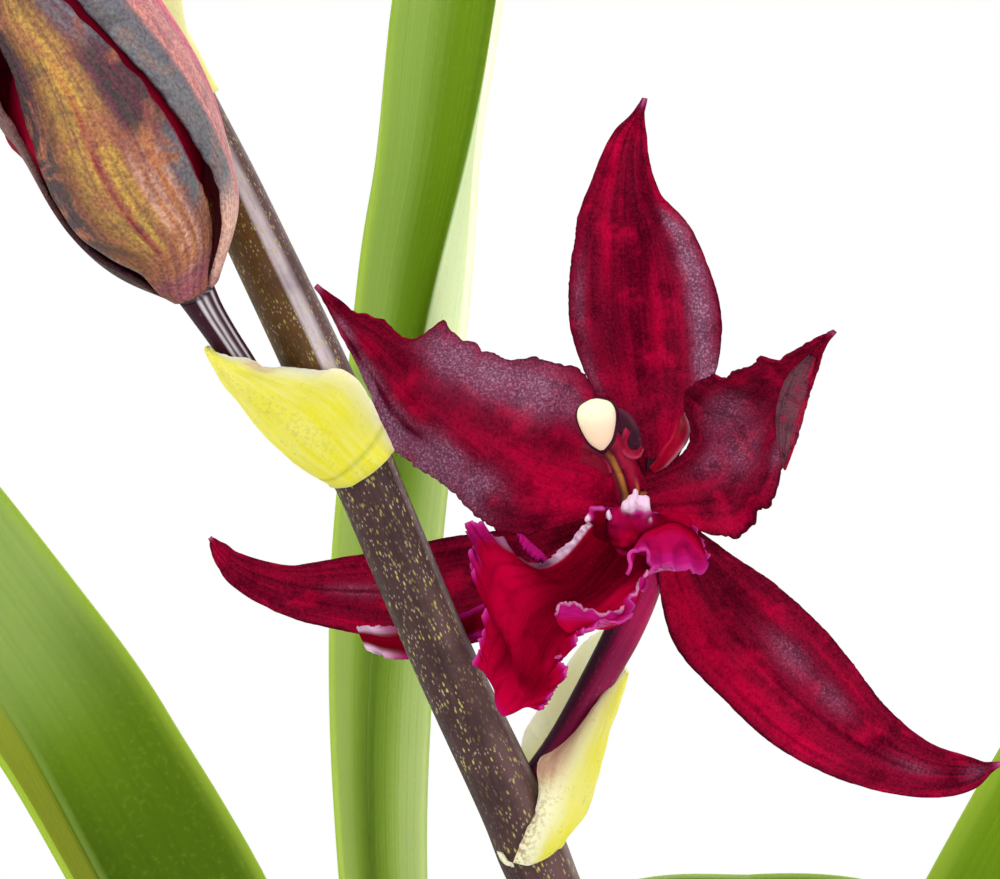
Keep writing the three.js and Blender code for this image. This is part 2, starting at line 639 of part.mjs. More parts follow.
// The lip's left lobe curls back behind the spike. Its lines are its upper margin, its middle and its lower
// margin.
const LIP_LOBE = [
  [[-14.2, -10.8, -8.9], [-14.6, -12.4, -11.4], [-15.2, -13.6, -13.6]],
  [[-16.4, -7.0, -10.4], [-16.8, -7.6, -12.1], [-17.1, -8.0, -13.6]],
  [[-19.1, -3.8, -11.7], [-19.2, -4.2, -13.2], [-19.2, -4.4, -14.6]],
  [[-22.3, -2.8, -12.7], [-22.4, -3.0, -14.2], [-22.4, -3.2, -15.6]],
  [[-26.0, -1.8, -12.8], [-25.8, -2.0, -14.4], [-25.3, -2.2, -16.0]],
  [[-29.0, -1.2, -12.8], [-28.7, -1.3, -13.8], [-28.0, -1.4, -15.1]],
];
// A sheet that runs through several lines side by side.
function sheetOfLines(stations, along, across) {
  const lines = stations[0].map((_, k) => track(stations.map((row) => row[k])));
  const place = (t, v) => vec(track(lines.map((line) => line(t)))((v + 1) / 2)).add(vec(FLOWER));
  return sheet(grid(along, across, place));
}
{
  const lip = solidOf(sheetOfLines(LIP, 20, 8)).add(solidOf(sheetOfLines(LIP_LOBE, 8, 4)));
  add("lip", "lip", geometryFrom(lip));
}

// Column: the fused stamen and style over the lip, with a wing at each side and an ivory cap at its end
const COLUMN = [
  [-0.2, 1.6, 0.1, 0.9],
  [-0.5, -0.6, 0.3, 1.1],
  [-1.6, -3.2, 1.4, 1.4],
  [-2.9, -5.6, 3.2, 1.6],
  [-4.1, -7.6, 5.2, 1.7],
  [-4.9, -8.7, 6.8, 1.3],
].map(([x, y, z, r]) => [x + FLOWER[0], y + FLOWER[1], z + FLOWER[2], r]);
{
  const wings = [
    [-5.4, 3.9, 25],
    [-1.9, 4.6, -30],
  ].map(([x, z, turn]) => {
    const wing = new THREE.SphereGeometry(1, 8, 6).scale(1.6, 0.6, 1.9).rotateY(rad(turn));
    return solidOf(wing.translate(x + FLOWER[0], FLOWER[1] - 6.2, z + FLOWER[2]));
  });
  const column = wings.reduce((sum, wing) => sum.add(wing), solidOf(rod(COLUMN, { steps: 8, sides: 10 })));
  add("column", "column", geometryFrom(column));
}
{
  const cap = [
    [0.32, -2.75],
    [1.15, -1.9],
    [1.75, -0.4],
    [1.95, 1.0],
    [1.55, 2.0],
    [0.5, 2.5],
  ].map(([r, z]) => new THREE.Vector2(r, z));
  const profile = [new THREE.Vector2(0, -2.85), ...cap, new THREE.Vector2(0, 2.55)];
  const turned = new THREE.LatheGeometry(profile, 14).rotateX(Math.PI / 2);
  turned.scale(1, 0.62, 1).rotateY(rad(-9));
  turned.translate(FLOWER[0] - 5.25, FLOWER[1] - 11, FLOWER[2] + 7.3);
  add("anther_cap", "cap", turned);
}

// Flower stalk, whose upper part is the ovary: it leaves the spike inside its bract and bends forward under
// the flower
const FLOWER_STALK = [
  [-4.6, -57.6, 307.6, 1.2],
  [-1.6, -56.4, 311.2, 1.3],
  [1.6, -54.8, 315.4, 1.35],
  [5.4, -52.3, 321.8, 1.5],
  [7.7, -50.2, 326, 1.65],
  [9.6, -47.8, 330.6, 1.7],
  [10.7, -45.9, 334.8, 1.6],
  [10.8, -45.6, 337.8, 1.5],
  [10.3, -47.6, 339, 1.5],
];
add("flower_stalk", "stalk", onStem(rod(FLOWER_STALK, { steps: 14, sides: 9, facing: [-1, -0.2, 0.3] })));

// Leaves: folded along the midrib. Each has a spine from its foot to its tip, a half width, and the
// directions that its channel faces on the way. Folds are the angles of both halves, in degrees. Left is
// the share of the half width that the left half has.
const toLeft = (degrees) => [-Math.sin(rad(degrees)), -Math.cos(rad(degrees)), 0];
const FOLDS = [66, 56, 46, 41, 38, 36, 34, 32, 30, 24];
const LEAVES = [
  {
    name: "leaf_view_left",
    half: 14,
    left: 0.7,
    faces: [[0.45, -0.86, 0.2], [0.52, -0.78, 0.35], [0.52, -0.78, 0.35], [0.5, -0.6, 0.6]],
    spine: [[-3, -8, 168.6], [-13, 2, 215], [-31, 7, 262], [-49.6, 10, 295.6], [-61, 11, 315.7],
      [-80, 12, 341], [-105, 13, 362], [-136, 12, 374], [-166, 8, 372]],
  },
  {
    name: "leaf_view_right",
    half: 14,
    faces: [[-0.45, -0.86, 0.2], [-0.52, -0.78, 0.35], [-0.52, -0.78, 0.35], [-0.5, -0.6, 0.6]],
    spine: [[9, -6.4, 168.6], [20, 4, 214], [38, 10, 258], [57, 14, 293], [76, 17, 321], [100, 19, 346],
      [130, 19, 362], [161, 16, 366], [190, 10, 356]],
  },
  {
    name: "leaf_view_middle",
    half: 12.6,
    faces: [-5, -5, -5, -8, -8, 4, 42, 50, 52].map(toLeft),
    folds: [72, 70, 68, 66, 64, 64, 47, 38, 32],
    spine: [[-1, 16, 164.5], [-8, 19, 212], [-14.5, 23, 255], [-19.6, 25, 294], [-19.2, 25, 325],
      [-13.6, 25, 357], [-6.9, 27, 385], [-0.4, 27, 425], [9, 25, 465]],
  },
  {
    name: "leaf_back_arch",
    half: 13,
    faces: [[-0.4, -0.9, 0.1], [-0.3, -0.5, 0.8], [0, 0, 1]],
    spine: [[-2, 37.3, 156.8], [2, 42, 206], [8, 54, 252], [13, 70, 277.5], [32, 90, 279], [58, 108, 273.5],
      [76, 128, 244], [84, 142, 210]],
  },
  {
    name: "leaf_back_left",
    half: 13,
    faces: [[0.76, -0.65, 0.1], [0.3, -0.2, 0.9]],
    spine: [[-9.6, 39.8, 156.6], [-24, 44, 203], [-46, 54, 244], [-76, 70, 264], [-108, 88, 258],
      [-134, 104, 232]],
  },
  {
    name: "leaf_middle_back",
    half: 12.5,
    faces: [[0.2, -1, 0.1], [0.1, -0.3, 0.95]],
    folds: [46, 46, 44, 40, 38, 36, 34, 32, 30, 24],
    spine: [[-1.5, 20.6, 164.6], [-7, 33, 214], [-16, 58, 254], [-26, 90, 272], [-38, 124, 262],
      [-50, 152, 232]],
  },
  {
    name: "leaf_low_left",
    half: 13,
    faces: [[0.9, -0.3, 0.3], [0.3, -0.1, 0.95]],
    spine: [[-18.5, -10, BARK_TOP - 2], [-27, -17, 146], [-51, -30, 186], [-82, -43, 210], [-116, -57, 212],
      [-146, -70, 190]],
  },
  {
    name: "leaf_low_right",
    half: 13,
    faces: [[-0.9, -0.1, 0.3], [-0.3, -0.1, 0.95]],
    spine: [[24.5, -4, BARK_TOP - 2], [37, -7, 146], [64, -13, 184], [96, -19, 205], [130, -25, 204],
      [158, -31, 183]],
  },
  {
    name: "leaf_side_right",
    half: 13,
    faces: [[-0.8, -0.5, 0.3], [-0.3, -0.2, 0.9]],
    spine: [[20, 16, BARK_TOP - 2], [35, 27, 156], [62, 38, 208], [96, 52, 240], [134, 65, 247],
      [167, 74, 230]],
  },
  {
    name: "leaf_side_left",
    half: 13,
    faces: [[0.8, -0.5, 0.3], [0.3, -0.2, 0.9]],
    spine: [[-22, 17, BARK_TOP - 2], [-38, 26, 154], [-66, 36, 202], [-102, 49, 230], [-140, 61, 232],
      [-170, 68, 212]],
  },
];
const LEAF_BLADE = 0.9;
const leafWidth = track([[0.42], [0.6], [0.8], [0.92], [1], [1], [0.96], [0.84], [0.58], [0.03]]);
function leafRows({ spine, half, faces, folds = FOLDS, left = 1 }, along = 12) {
  const path = track(spine);
  const fold = track(folds.map((degrees) => [degrees]));
  const stations = [];
  for (let i = 0; i <= along; i++) {
    const t = i / along;
    const wide = half * leafWidth(t)[0];
    const angle = rad(fold(t)[0]);
    const [width, lift] = [wide * Math.cos(angle), wide * Math.sin(angle)];
    stations.push([...path(t), left * width, width, left * lift, lift]);
  }
  return blade(stations, { facing: track(faces), along, across: 4, crease: 0.8 });
}
LEAVES.forEach((leaf) => add(leaf.name, "leaf", sheet(leafRows(leaf), LEAF_BLADE)));

// Roots: a few run over the bark from the bulbs' feet and dive into it. Stations are [x, y, z, radius]
const ROOTS = {
  root_front: [[-3, -18, 96, 1.4], [-6, -27, 101.5, 1.6], [-2, -37, 101.5, 1.5], [6, -45, 98, 1.4],
    [9, -49, 92, 1.2]],
  root_left: [[-9, -17, 96, 1.4], [-17, -21, 102, 1.6], [-27, -28, 101.5, 1.6], [-34, -35, 97.5, 1.4],
    [-36, -38, 91, 1.1]],
  root_right: [[19.5, 3, 96, 1.3], [30, 5, 102, 1.5], [41, 5, 101, 1.5], [48, 2, 97, 1.3],
    [50, -1, 91, 1.1]],
  root_back: [[-17, 27, 96, 1.3], [-25, 34, 102, 1.5], [-28, 40, 101, 1.4], [-25, 45, 96, 1.2],
    [-21, 46, 90, 1.1]],
};
const ROOT_OPTIONS = { steps: 8, sides: 7, facing: [0.1, 0.1, 1] };
const rootRod = (stations, extra = 0) => rod(stations, { ...ROOT_OPTIONS, extra });
Object.entries(ROOTS).forEach(([name, stations]) => add(name, "root", rootRod(stations)));

// Bark: coarse chips on a filled pot, with a hole for whatever grows out of it
const CHIPS = 20;
const BARK_GAP = 0.45; // the pot's wall and the bark have different facets
// A random source that gives the same numbers on every run.
function randomSource(seed) {
  let state = seed;
  return (low, high) => {
    state = (state + 0x6d2b79f5) | 0;
    let mixed = Math.imul(state ^ (state >>> 15), 1 | state);
    mixed = (mixed + Math.imul(mixed ^ (mixed >>> 7), 61 | mixed)) ^ mixed;
    return low + ((high - low) * ((mixed ^ (mixed >>> 14)) >>> 0)) / 4294967296;
  };
}
{
  const random = randomSource(11);
  const sides = 14;
  const level = (radius, z, rough) =>
    Array.from({ length: sides }, (_, k) => {
      const a = (2 * Math.PI * k) / sides;
      return new THREE.Vector3(radius * Math.cos(a), radius * Math.sin(a), z + random(-rough, rough));
    });
  const heap = loft([
    level(POT.rim, 0, 0),
    level(POT.rim, BARK_TOP - 4, 0),
    level(42, BARK_TOP - 1.5, 0.8),
    level(22, BARK_TOP, 1),
  ]);
  const chips = Array.from({ length: CHIPS }, () => {
    const chip = new THREE.BoxGeometry(random(12, 20), random(8, 13), random(3, 5));
    const corners = new Map();
    const places = chip.getAttribute("position");
    for (let i = 0; i < places.count; i++) {
      const p = new THREE.Vector3().fromBufferAttribute(places, i);
      const key = p.toArray().map(Math.sign).join();
      if (!corners.has(key)) corners.set(key, p.multiplyScalar(random(0.78, 1.1)));
      places.setXYZ(i, ...corners.get(key).toArray());
    }
    chip.rotateX(random(-0.5, 0.5)).rotateY(random(-0.5, 0.5)).rotateZ(random(0, Math.PI));
    const radius = 48 * Math.sqrt(random(0.02, 1));
    const angle = random(0, 2 * Math.PI);
    const height = BARK_TOP + random(0, 1.5);
    return solidOf(chip.translate(radius * Math.cos(angle), radius * Math.sin(angle), height));
  });
  const low = POT.floor + BARK_GAP;
  const cavity = new THREE.LatheGeometry(
    [
      [0, low],
      [potInside(low) - BARK_GAP, low],
      [potInside(potShoulder) - BARK_GAP, potShoulder],
      [potInside(potShoulder) + 2, POT.height],
      [0, POT.height],
    ].map(([r, z]) => new THREE.Vector2(r, z)),
    36,
  ).rotateX(Math.PI / 2);
  const lowLeaves = LEAVES.filter(({ spine }) => spine[0][2] < BARK_TOP);
  // The hole for a leaf's foot is the plain wedge round its first rows.
  const leafHole = (leaf) => {
    const foot = solidOf(sheet(leafRows(leaf).slice(0, 3), LEAF_BLADE + 3 * GAP));
    const [x, y] = leaf.faces[0];
    const lower = foot.translate([0, 0, -2 * GAP]);
    return foot.add(lower).add(lower.translate([2 * GAP * x, 2 * GAP * y, 0])).hull();
  };
  const holes = [
    ...BULBS.map((bulb) => solidOf(bulbBody(bulb, GAP))),
    ...Object.values(ROOTS).map((stations) => solidOf(rootRod(stations, GAP))),
    ...lowLeaves.map(leafHole),
    spikeClear,
  ];
  const filled = chips.reduce((sum, chip) => sum.add(chip), solidOf(heap)).intersect(solidOf(cavity));
  add("bark", "bark", geometryFrom(largest(holes.reduce((sum, hole) => sum.subtract(hole), filled))));
}

export default plant;
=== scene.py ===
import math
import random

import bmesh
import bpy
from mathutils import Matrix, Vector, noise


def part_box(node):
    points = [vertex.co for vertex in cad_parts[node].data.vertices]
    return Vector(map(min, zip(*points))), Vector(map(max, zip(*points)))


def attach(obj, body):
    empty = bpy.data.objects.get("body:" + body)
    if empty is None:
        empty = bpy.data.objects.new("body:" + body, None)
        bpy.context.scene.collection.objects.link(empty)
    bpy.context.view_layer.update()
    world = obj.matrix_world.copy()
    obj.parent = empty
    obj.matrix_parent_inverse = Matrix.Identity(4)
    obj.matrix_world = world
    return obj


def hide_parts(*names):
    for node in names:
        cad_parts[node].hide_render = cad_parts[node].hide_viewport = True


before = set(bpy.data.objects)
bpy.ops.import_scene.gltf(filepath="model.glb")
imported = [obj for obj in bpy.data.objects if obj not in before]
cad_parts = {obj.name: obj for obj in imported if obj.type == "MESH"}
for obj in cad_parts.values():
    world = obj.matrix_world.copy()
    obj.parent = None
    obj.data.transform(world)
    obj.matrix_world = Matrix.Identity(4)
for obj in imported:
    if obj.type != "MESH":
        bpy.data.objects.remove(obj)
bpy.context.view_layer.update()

# Pot: a wheel-thrown clay pot, fired without a glaze, with a rolled band round its rim and three drains.
# It is turned round its axis and cut where it drains. Fingers leave faint rings, and lime from the water
# blooms on the outside.
MM = 0.001
pot_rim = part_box("pot")[1].x / MM
pot_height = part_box("pot")[1].z / MM
POT_FOOT = 46
POT_BAND = 15
POT_BAND_PROUD = 4
POT_WALL = 5
POT_FLOOR = 7
DRAIN_RADIUS = 5.5
DRAIN_RING = 25
TERRACOTTA = (0.47, 0.17, 0.075)
TERRACOTTA_DAMP = (0.26, 0.085, 0.04)
LIME_BLOOM = (0.72, 0.58, 0.47)


def skin(name, rows, solid=False, colour=None):
    """A smooth mesh through rows of points, which close to rings with caps on a solid one. Its UV map keeps
    the place across and along it, and its paint the colour there."""
    wide = len(rows[0])
    last = len(rows) - 1
    turns = wide if solid else wide - 1
    points = [p * MM for row in rows for p in row]
    spots = [(i / last, j / turns) for i in range(last + 1) for j in range(wide)]
    faces = []
    places = []
    for i in range(last):
        for j in range(turns):
            k = (j + 1) % wide
            faces.append((i * wide + j, i * wide + k, (i + 1) * wide + k, (i + 1) * wide + j))
            for a, b in ((j, i), (j + 1, i), (j + 1, i + 1), (j, i + 1)):
                places += [a / turns, b / last]
    if solid:
        for i in (0, last):
            points.append(sum(rows[i], Vector()) / wide * MM)
            spots.append((i / last, 0.5))
            for j in range(wide):
                faces.append((i * wide + j, i * wide + (j + 1) % wide, len(points) - 1))
                places += [j / turns, i / last, (j + 1) / turns, i / last, (j + 0.5) / turns, i / last]
    mesh = bpy.data.meshes.new(name)
    mesh.from_pydata(points, [], faces)
    mesh.uv_layers.new(name="place").data.foreach_set("uv", places)
    if colour:
        layer = mesh.color_attributes.new("paint", "FLOAT_COLOR", "POINT")
        layer.data.foreach_set("color", [part for spot in spots for part in (*colour(*spot), 1.0)[:4]])
    if solid:
        work = bmesh.new()
        work.from_mesh(mesh)
        bmesh.ops.recalc_face_normals(work, faces=work.faces)
        work.to_mesh(mesh)
        work.free()
    mesh.shade_smooth()
    made = bpy.data.objects.new(name, mesh)
    bpy.context.collection.objects.link(made)
    return made


def around(sides):
    """The angles of a ring's corners."""
    return [2 * math.pi * k / sides for k in range(sides)]


def turned(profile, sides):
    """Rings of points for a profile of [radius, height] turned round the pot's axis."""
    return [[Vector((r * math.cos(a), r * math.sin(a), z)) for a in around(sides)] for r, z in profile]


def stand_for(made, node, slot, *materials):
    """Gives a finished piece its materials and sets it in the frame in place of its CAD node."""
    for material in materials:
        made.data.materials.append(material)
    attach(made, "root")
    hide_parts(node)


def finish(name, **sockets):
    """A new material with values set on its shader's own sockets: the material, its tree and the shader."""
    material = bpy.data.materials.new(name)
    material.use_nodes = True
    shader = material.node_tree.nodes["Principled BSDF"]
    for socket, value in sockets.items():
        shader.inputs[socket.replace("_", " ")].default_value = value
    return material, material.node_tree, shader


def feed(tree, socket, value):
    """Links a socket to another, or sets its number, vector or colour."""
    if isinstance(value, bpy.types.NodeSocket):
        tree.links.new(value, socket)
    elif socket.type == "RGBA":
        socket.default_value = (*value, 1.0)
    else:
        socket.default_value = value


def put(tree, kind, output=0, setting=None, **sockets):
    """An output of a new shader node of a kind, with its sockets fed and its own settings made."""
    made = tree.nodes.new("ShaderNode" + kind)
    for name, value in (setting or {}).items():
        setattr(made, name, value)
    for name, value in sockets.items():
        feed(tree, made.inputs[name.replace("_", " ")], value)
    return made.outputs[output]


def blend(tree, share, under, over, how="MIX"):
    """Two colours mixed by a share."""
    made = tree.nodes.new("ShaderNodeMix")
    made.data_type = "RGBA"
    made.blend_type = how
    for socket, value in ((0, share), (6, under), (7, over)):
        feed(tree, made.inputs[socket], value)
    return made.outputs[2]


def sums(tree, kind, a, b):
    """One step of arithmetic between two values."""
    made = tree.nodes.new("ShaderNodeMath")
    made.operation = kind
    feed(tree, made.inputs[0], a)
    feed(tree, made.inputs[1], b)
    return made.outputs[0]


def grade(tree, value, low, high, first=0.0, last=1.0):
    """A value from low to high, spread over first to last."""
    sockets = {"Value": value, "From_Min": low, "From_Max": high, "To_Min": first, "To_Max": last}
    return put(tree, "MapRange", **sockets)


def stain(tree, under, over, pattern, low, high, share=1.0, how="MIX"):
    """A colour laid over another where a pattern goes from low to high, up to a share."""
    return blend(tree, grade(tree, pattern, low, high, 0.0, share), under, over, how)


def where(tree):
    """The place in the plant's own frame."""
    return put(tree, "TexCoord", output=3)


def grain(tree, place, scale, detail=2.0, **more):
    """A noise of a scale over a place."""
    return put(tree, "TexNoise", Vector=place, Scale=scale, Detail=detail, **more)


def cover(tree, shader, body):
    """Gives the shader its colour."""
    feed(tree, shader.inputs["Base Color"], body)


def emboss(tree, shader, depth, height, fine=None, share=1.0):
    """Relief of a depth in millimetres under the shader's light, with a share of a finer one on it."""
    if fine is not None:
        height = sums(tree, "ADD", height, sums(tree, "MULTIPLY", fine, share))
    feed(tree, shader.inputs["Normal"], put(tree, "Bump", Height=height, Distance=depth * MM, Strength=1.0))


def clay():
    material, tree, shader = finish("fired_clay", Roughness=0.85, Specular_IOR_Level=0.25)
    place = where(tree)
    height = put(tree, "SeparateXYZ", output=2, Vector=place)
    clouds = grain(tree, place, 22.0, 5.0)
    grit = grain(tree, place, 900.0, 3.0)
    damp = sums(tree, "MULTIPLY", grade(tree, height, 0.05, 0.0), grade(tree, clouds, 0.3, 0.6))
    body = stain(tree, TERRACOTTA, TERRACOTTA_DAMP, clouds, 0.35, 0.7)
    body = blend(tree, sums(tree, "MULTIPLY", damp, 0.5), body, TERRACOTTA_DAMP)
    bloom_and_sheen = grain(tree, place, 38.0, 8.0, Roughness=0.65)
    body = stain(tree, body, LIME_BLOOM, bloom_and_sheen, 0.52, 0.75, 0.7)
    cover(tree, shader, stain(tree, body, LIME_BLOOM, grit, 0.55, 0.7, 0.35))
    rings = put(tree, "TexNoise", Vector=put(tree, "CombineXYZ", Z=height), Scale=260.0, Detail=2.0)
    emboss(tree, shader, 0.25, rings, grit, 0.35)
    return material


pot_shoulder = pot_height - POT_BAND
under_band = pot_rim - POT_BAND_PROUD
inner_shoulder = under_band - POT_WALL
pot_profile = [
    [0.01, 0.4],
    [POT_FOOT - 3, 0.2],
    [POT_FOOT - 1.4, 0],
    [POT_FOOT - 0.3, 0.8],
    [POT_FOOT, 2],
    *[[POT_FOOT + (under_band - POT_FOOT) * k / 12, pot_shoulder * k / 12 + 2 * (12 - k) / 12]
      for k in range(1, 13)],
    [under_band + 0.3, pot_shoulder + 0.2],
    [pot_rim - 1.2, pot_shoulder + 0.3],
    [pot_rim - 0.3, pot_shoulder + 0.8],
    [pot_rim, pot_shoulder + 2],
    [pot_rim, pot_height - 3],
    [pot_rim - 0.4, pot_height - 1.2],
    [pot_rim - 1.5, pot_height - 0.2],
    [pot_rim - 2.4, pot_height],
    [pot_rim - 3.6, pot_height - 0.4],
    [pot_rim - POT_WALL + 0.4, pot_height - 2],
    [inner_shoulder + 0.2, pot_shoulder],
    [POT_FOOT - 7, POT_FLOOR + 1],
    [POT_FOOT - 9, POT_FLOOR],
    [0.01, POT_FLOOR],
]
pot = skin("pot_thrown", turned(pot_profile, 96), solid=True)
for a in around(3):
    drill_way = Vector((math.cos(a + 0.5), math.sin(a + 0.5), 0))
    bpy.ops.mesh.primitive_cylinder_add(vertices=32, radius=DRAIN_RADIUS * MM, depth=4 * POT_FLOOR * MM)
    drill = bpy.context.object
    drill.matrix_world = Matrix.Translation(drill_way * DRAIN_RING * MM)
    bore = pot.modifiers.new("drain", "BOOLEAN")
    bore.object = drill
    bore.solver = "EXACT"
    bpy.context.view_layer.update()
    drilled = bpy.data.meshes.new_from_object(pot.evaluated_get(bpy.context.evaluated_depsgraph_get()))
    pot.modifiers.clear()
    pot.data = drilled
    bpy.data.objects.remove(drill)
stand_for(pot, "pot", "clay", clay())

# Bark: coarse chips of fir bark, loosely heaped round the bulbs and a little lower than the rim.
# Each chip is a split piece with sharp edges, a few millimetres thick. They lie every way on a bed of fines.
BARK_TOP = 99
BARK_EDGE = 57.5
BED_SUNK = 3.2
BED_DEEP = 12
CHIP_COUNT = 210
CHIP_SIZES = ((10, 19), (6, 12), (3, 5.5))
BED_PROFILE = ((0.5, 0), (10, 0.4), (20, 0.2), (30, -0.4), (40, -1), (50, -2), (BARK_EDGE, -3))
BARK_BROWNS = [(0.16, 0.065, 0.03), (0.27, 0.12, 0.055), (0.09, 0.04, 0.022), (0.34, 0.18, 0.095)]
BARK_SEAM = (0.05, 0.022, 0.012)
BARK_FIBRE = (0.4, 0.23, 0.13)
# Each planted place is [x, y, its reach in x, its reach in y]. No chip lies there.
PLANTED = [(3, -7, 15, 9), (-1, 16, 14, 9), (-5, 38, 13, 8), (8.5, -21, 6, 6), (-20, -10, 6, 6),
           (25, -4, 6, 6), (20, 16, 6, 6), (-22, 17, 6, 6)]


def painted(tree, output=0):
    """The colour of the mesh's paint, or at output 1 the paint's fourth value."""
    return put(tree, "VertexColor", output, {"layer_name": "paint"})


def bark():
    material, tree, shader = finish("fir_bark", Roughness=0.9, Specular_IOR_Level=0.2)
    place = where(tree)
    tint = painted(tree)
    layers = grain(tree, place, 260.0, 8.0, Roughness=0.7, Distortion=1.5)
    fibre = put(tree, "TexWave", Vector=place, Scale=240.0, Distortion=9.0, Detail=3.0)
    body = stain(tree, tint, BARK_SEAM, layers, 0.35, 0.65, 0.8)
    body = stain(tree, body, BARK_FIBRE, fibre, 0.7, 1.0, 0.4)
    cover(tree, shader, body)
    emboss(tree, shader, 0.7, layers, fibre, 0.4)
    return material


chance = random.Random(7)
bed = []
for r, z in BED_PROFILE:
    level = BARK_TOP - BED_SUNK + z
    bed.append([Vector((r * math.cos(a), r * math.sin(a), level + chance.uniform(-1.2, 1.2)))
                for a in around(72)])
heap = bmesh.new()
heap_paint = heap.verts.layers.float_color.new("paint")
lower = [[Vector((p.x, p.y, BARK_TOP - BED_DEEP)) for p in row] for row in (bed[-1], bed[0])]
rings = [[heap.verts.new(p * MM) for p in row] for row in (*bed, *lower)]
for inner, outer in zip(rings, rings[1:] + rings[:1]):
    for j in range(len(inner)):
        k = (j + 1) % len(inner)
        heap.faces.new((inner[j], outer[j], outer[k], inner[k]))
for vert in heap.verts:
    vert[heap_paint] = (*BARK_BROWNS[2], 1)
laid = 0
while laid < CHIP_COUNT:
    reach = BARK_EDGE * math.sqrt(chance.random())
    turn = chance.uniform(0, 2 * math.pi)
    x, y = reach * math.cos(turn), reach * math.sin(turn)
    if any(((x - px) / rx) ** 2 + ((y - py) / ry) ** 2 < 1 for px, py, rx, ry in PLANTED):
        continue
    half = [chance.uniform(*size) / 2 for size in CHIP_SIZES]
    if reach + half[1] > BARK_EDGE + 1:
        continue
    laid += 1
    lean = Matrix.Rotation(chance.uniform(0, math.pi), 3, "Z")
    lean = lean @ Matrix.Rotation(chance.gauss(0, 0.3), 3, "X")
    lean = lean @ Matrix.Rotation(chance.gauss(0, 0.3), 3, "Y")
    height = BARK_TOP - 1.5 - 2 * (reach / BARK_EDGE) ** 2 + chance.uniform(-1.5, 1.8)
    shade = chance.choice(BARK_BROWNS)
    corners = []
    for sx in (-1, 1):
        for sy in (-1, 1):
            for sz in (-1, 1):
                blunt = [chance.uniform(0.72, 1) * s * h for s, h in zip((sx, sy, sz), half)]
                corners.append(lean @ Vector(blunt))
            corners.append(lean @ Vector((sx * half[0] * 0.4, sy * half[1] * chance.uniform(0.9, 1.15), 0)))
        corners.append(lean @ Vector((sx * half[0] * chance.uniform(0.95, 1.2), 0, 0)))
    chip = []
    for p in corners:
        p += Vector((x, y, height))
        inside = min(1, (BARK_EDGE + 1) / p.xy.length)
        chip.append(heap.verts.new(Vector((p.x * inside, p.y * inside, p.z)) * MM))
    for vert in chip:
        vert[heap_paint] = (*shade, 1)
    hull = bmesh.ops.convex_hull(heap, input=chip)
    unused = [part for part in hull["geom_interior"] if isinstance(part, bmesh.types.BMVert)]
    bmesh.ops.delete(heap, geom=unused, context="VERTS")
bmesh.ops.recalc_face_normals(heap, faces=heap.faces)
bark_mesh = bpy.data.meshes.new("bark_heap")
heap.to_mesh(bark_mesh)
heap.free()
bark_heap = bpy.data.objects.new("bark_heap", bark_mesh)
bpy.context.collection.objects.link(bark_heap)
worn = bark_heap.modifiers.new("worn_edges", "BEVEL")
worn.width = 0.35 * MM
worn.segments = 2
worn.limit_method = "ANGLE"
stand_for(bark_heap, "bark", "bark", bark())

# Pseudobulbs: flattened egg-shaped storage stems, green flesh under a tough skin. They swell from the
# creeping stem one after the other, stand in the bark, furrow as they age, and end in a leaf scar.
BULBS = [
    {"name": "front", "at": (3, -7), "tall": 74, "wide": 19, "deep": 10.5, "turn": 4, "age": 0.1},
    {"name": "middle", "at": (-1, 16), "tall": 70, "wide": 18, "deep": 10, "turn": -6, "age": 0.5},
    {"name": "back", "at": (-5, 38), "tall": 62, "wide": 16.5, "deep": 9.5, "turn": 8, "age": 1},
]
BULB_FOOT = BARK_TOP - 5
BULB_GREEN = (0.19, 0.31, 0.05)
BULB_YELLOW = (0.42, 0.43, 0.09)
BULB_BROWN = (0.23, 0.12, 0.045)
FURROWS = 9


def steps(count):
    """The shares from 0 to 1 in so many even steps."""
    return [i / count for i in range(count + 1)]


def track(rows):
    """A smooth line through rows of numbers, read at t from 0 to 1."""
    last = len(rows) - 1
    before = [2 * a - b for a, b in zip(rows[0], rows[1])]
    after = [2 * a - b for a, b in zip(rows[-1], rows[-2])]
    held = [before, *rows, after]

    def at(t):
        s = min(max(t, 0), 1) * last
        i = min(int(s), last - 1)
        f = s - i
        return [b + 0.5 * f * (c - a + f * (2 * a - 5 * b + 4 * c - d + f * (3 * (b - c) + d - a)))
                for a, b, c, d in zip(*held[i:i + 4])]

    return at


def soft(x, a, b):
    """A soft step from 0 at a to 1 at b."""
    s = min(max((x - a) / (b - a), 0), 1)
    return s * s * (3 - 2 * s)


def toned(under, over, share):
    """A colour between two, by a share."""
    return tuple(a + (b - a) * share for a, b in zip(under, over))


def uneven(x, y, z):
    """A smooth chance value for a place, between -1 and 1."""
    return noise.noise(Vector((x, y, z)))


def drawn_out(tree, cells, detail, **more):
    """A noise of so many cells across and along a piece."""
    place = put(tree, "Mapping", Vector=put(tree, "UVMap"), Scale=(*cells, 1.0))
    return grain(tree, place, 1.0, detail, **more)


def bulb_flesh():
    material, tree, shader = finish("bulb_flesh", Roughness=0.42, Specular_IOR_Level=0.4)
    place = where(tree)
    tint = painted(tree)
    mottle = grain(tree, place, 140.0, 5.0)
    fibres = drawn_out(tree, (60.0, 5.0), 4.0)
    pits = put(tree, "TexVoronoi", Vector=place, Scale=420.0)
    body = stain(tree, tint, BULB_YELLOW, mottle, 0.4, 0.75, 0.5)
    body = stain(tree, body, BULB_GREEN, fibres, 0.5, 0.75, 0.5, "MULTIPLY")
    body = stain(tree, body, BULB_BROWN, pits, 0.12, 0.0, 0.5)
    cover(tree, shader, body)
    emboss(tree, shader, 0.35, fibres, mottle, 0.6)
    return material


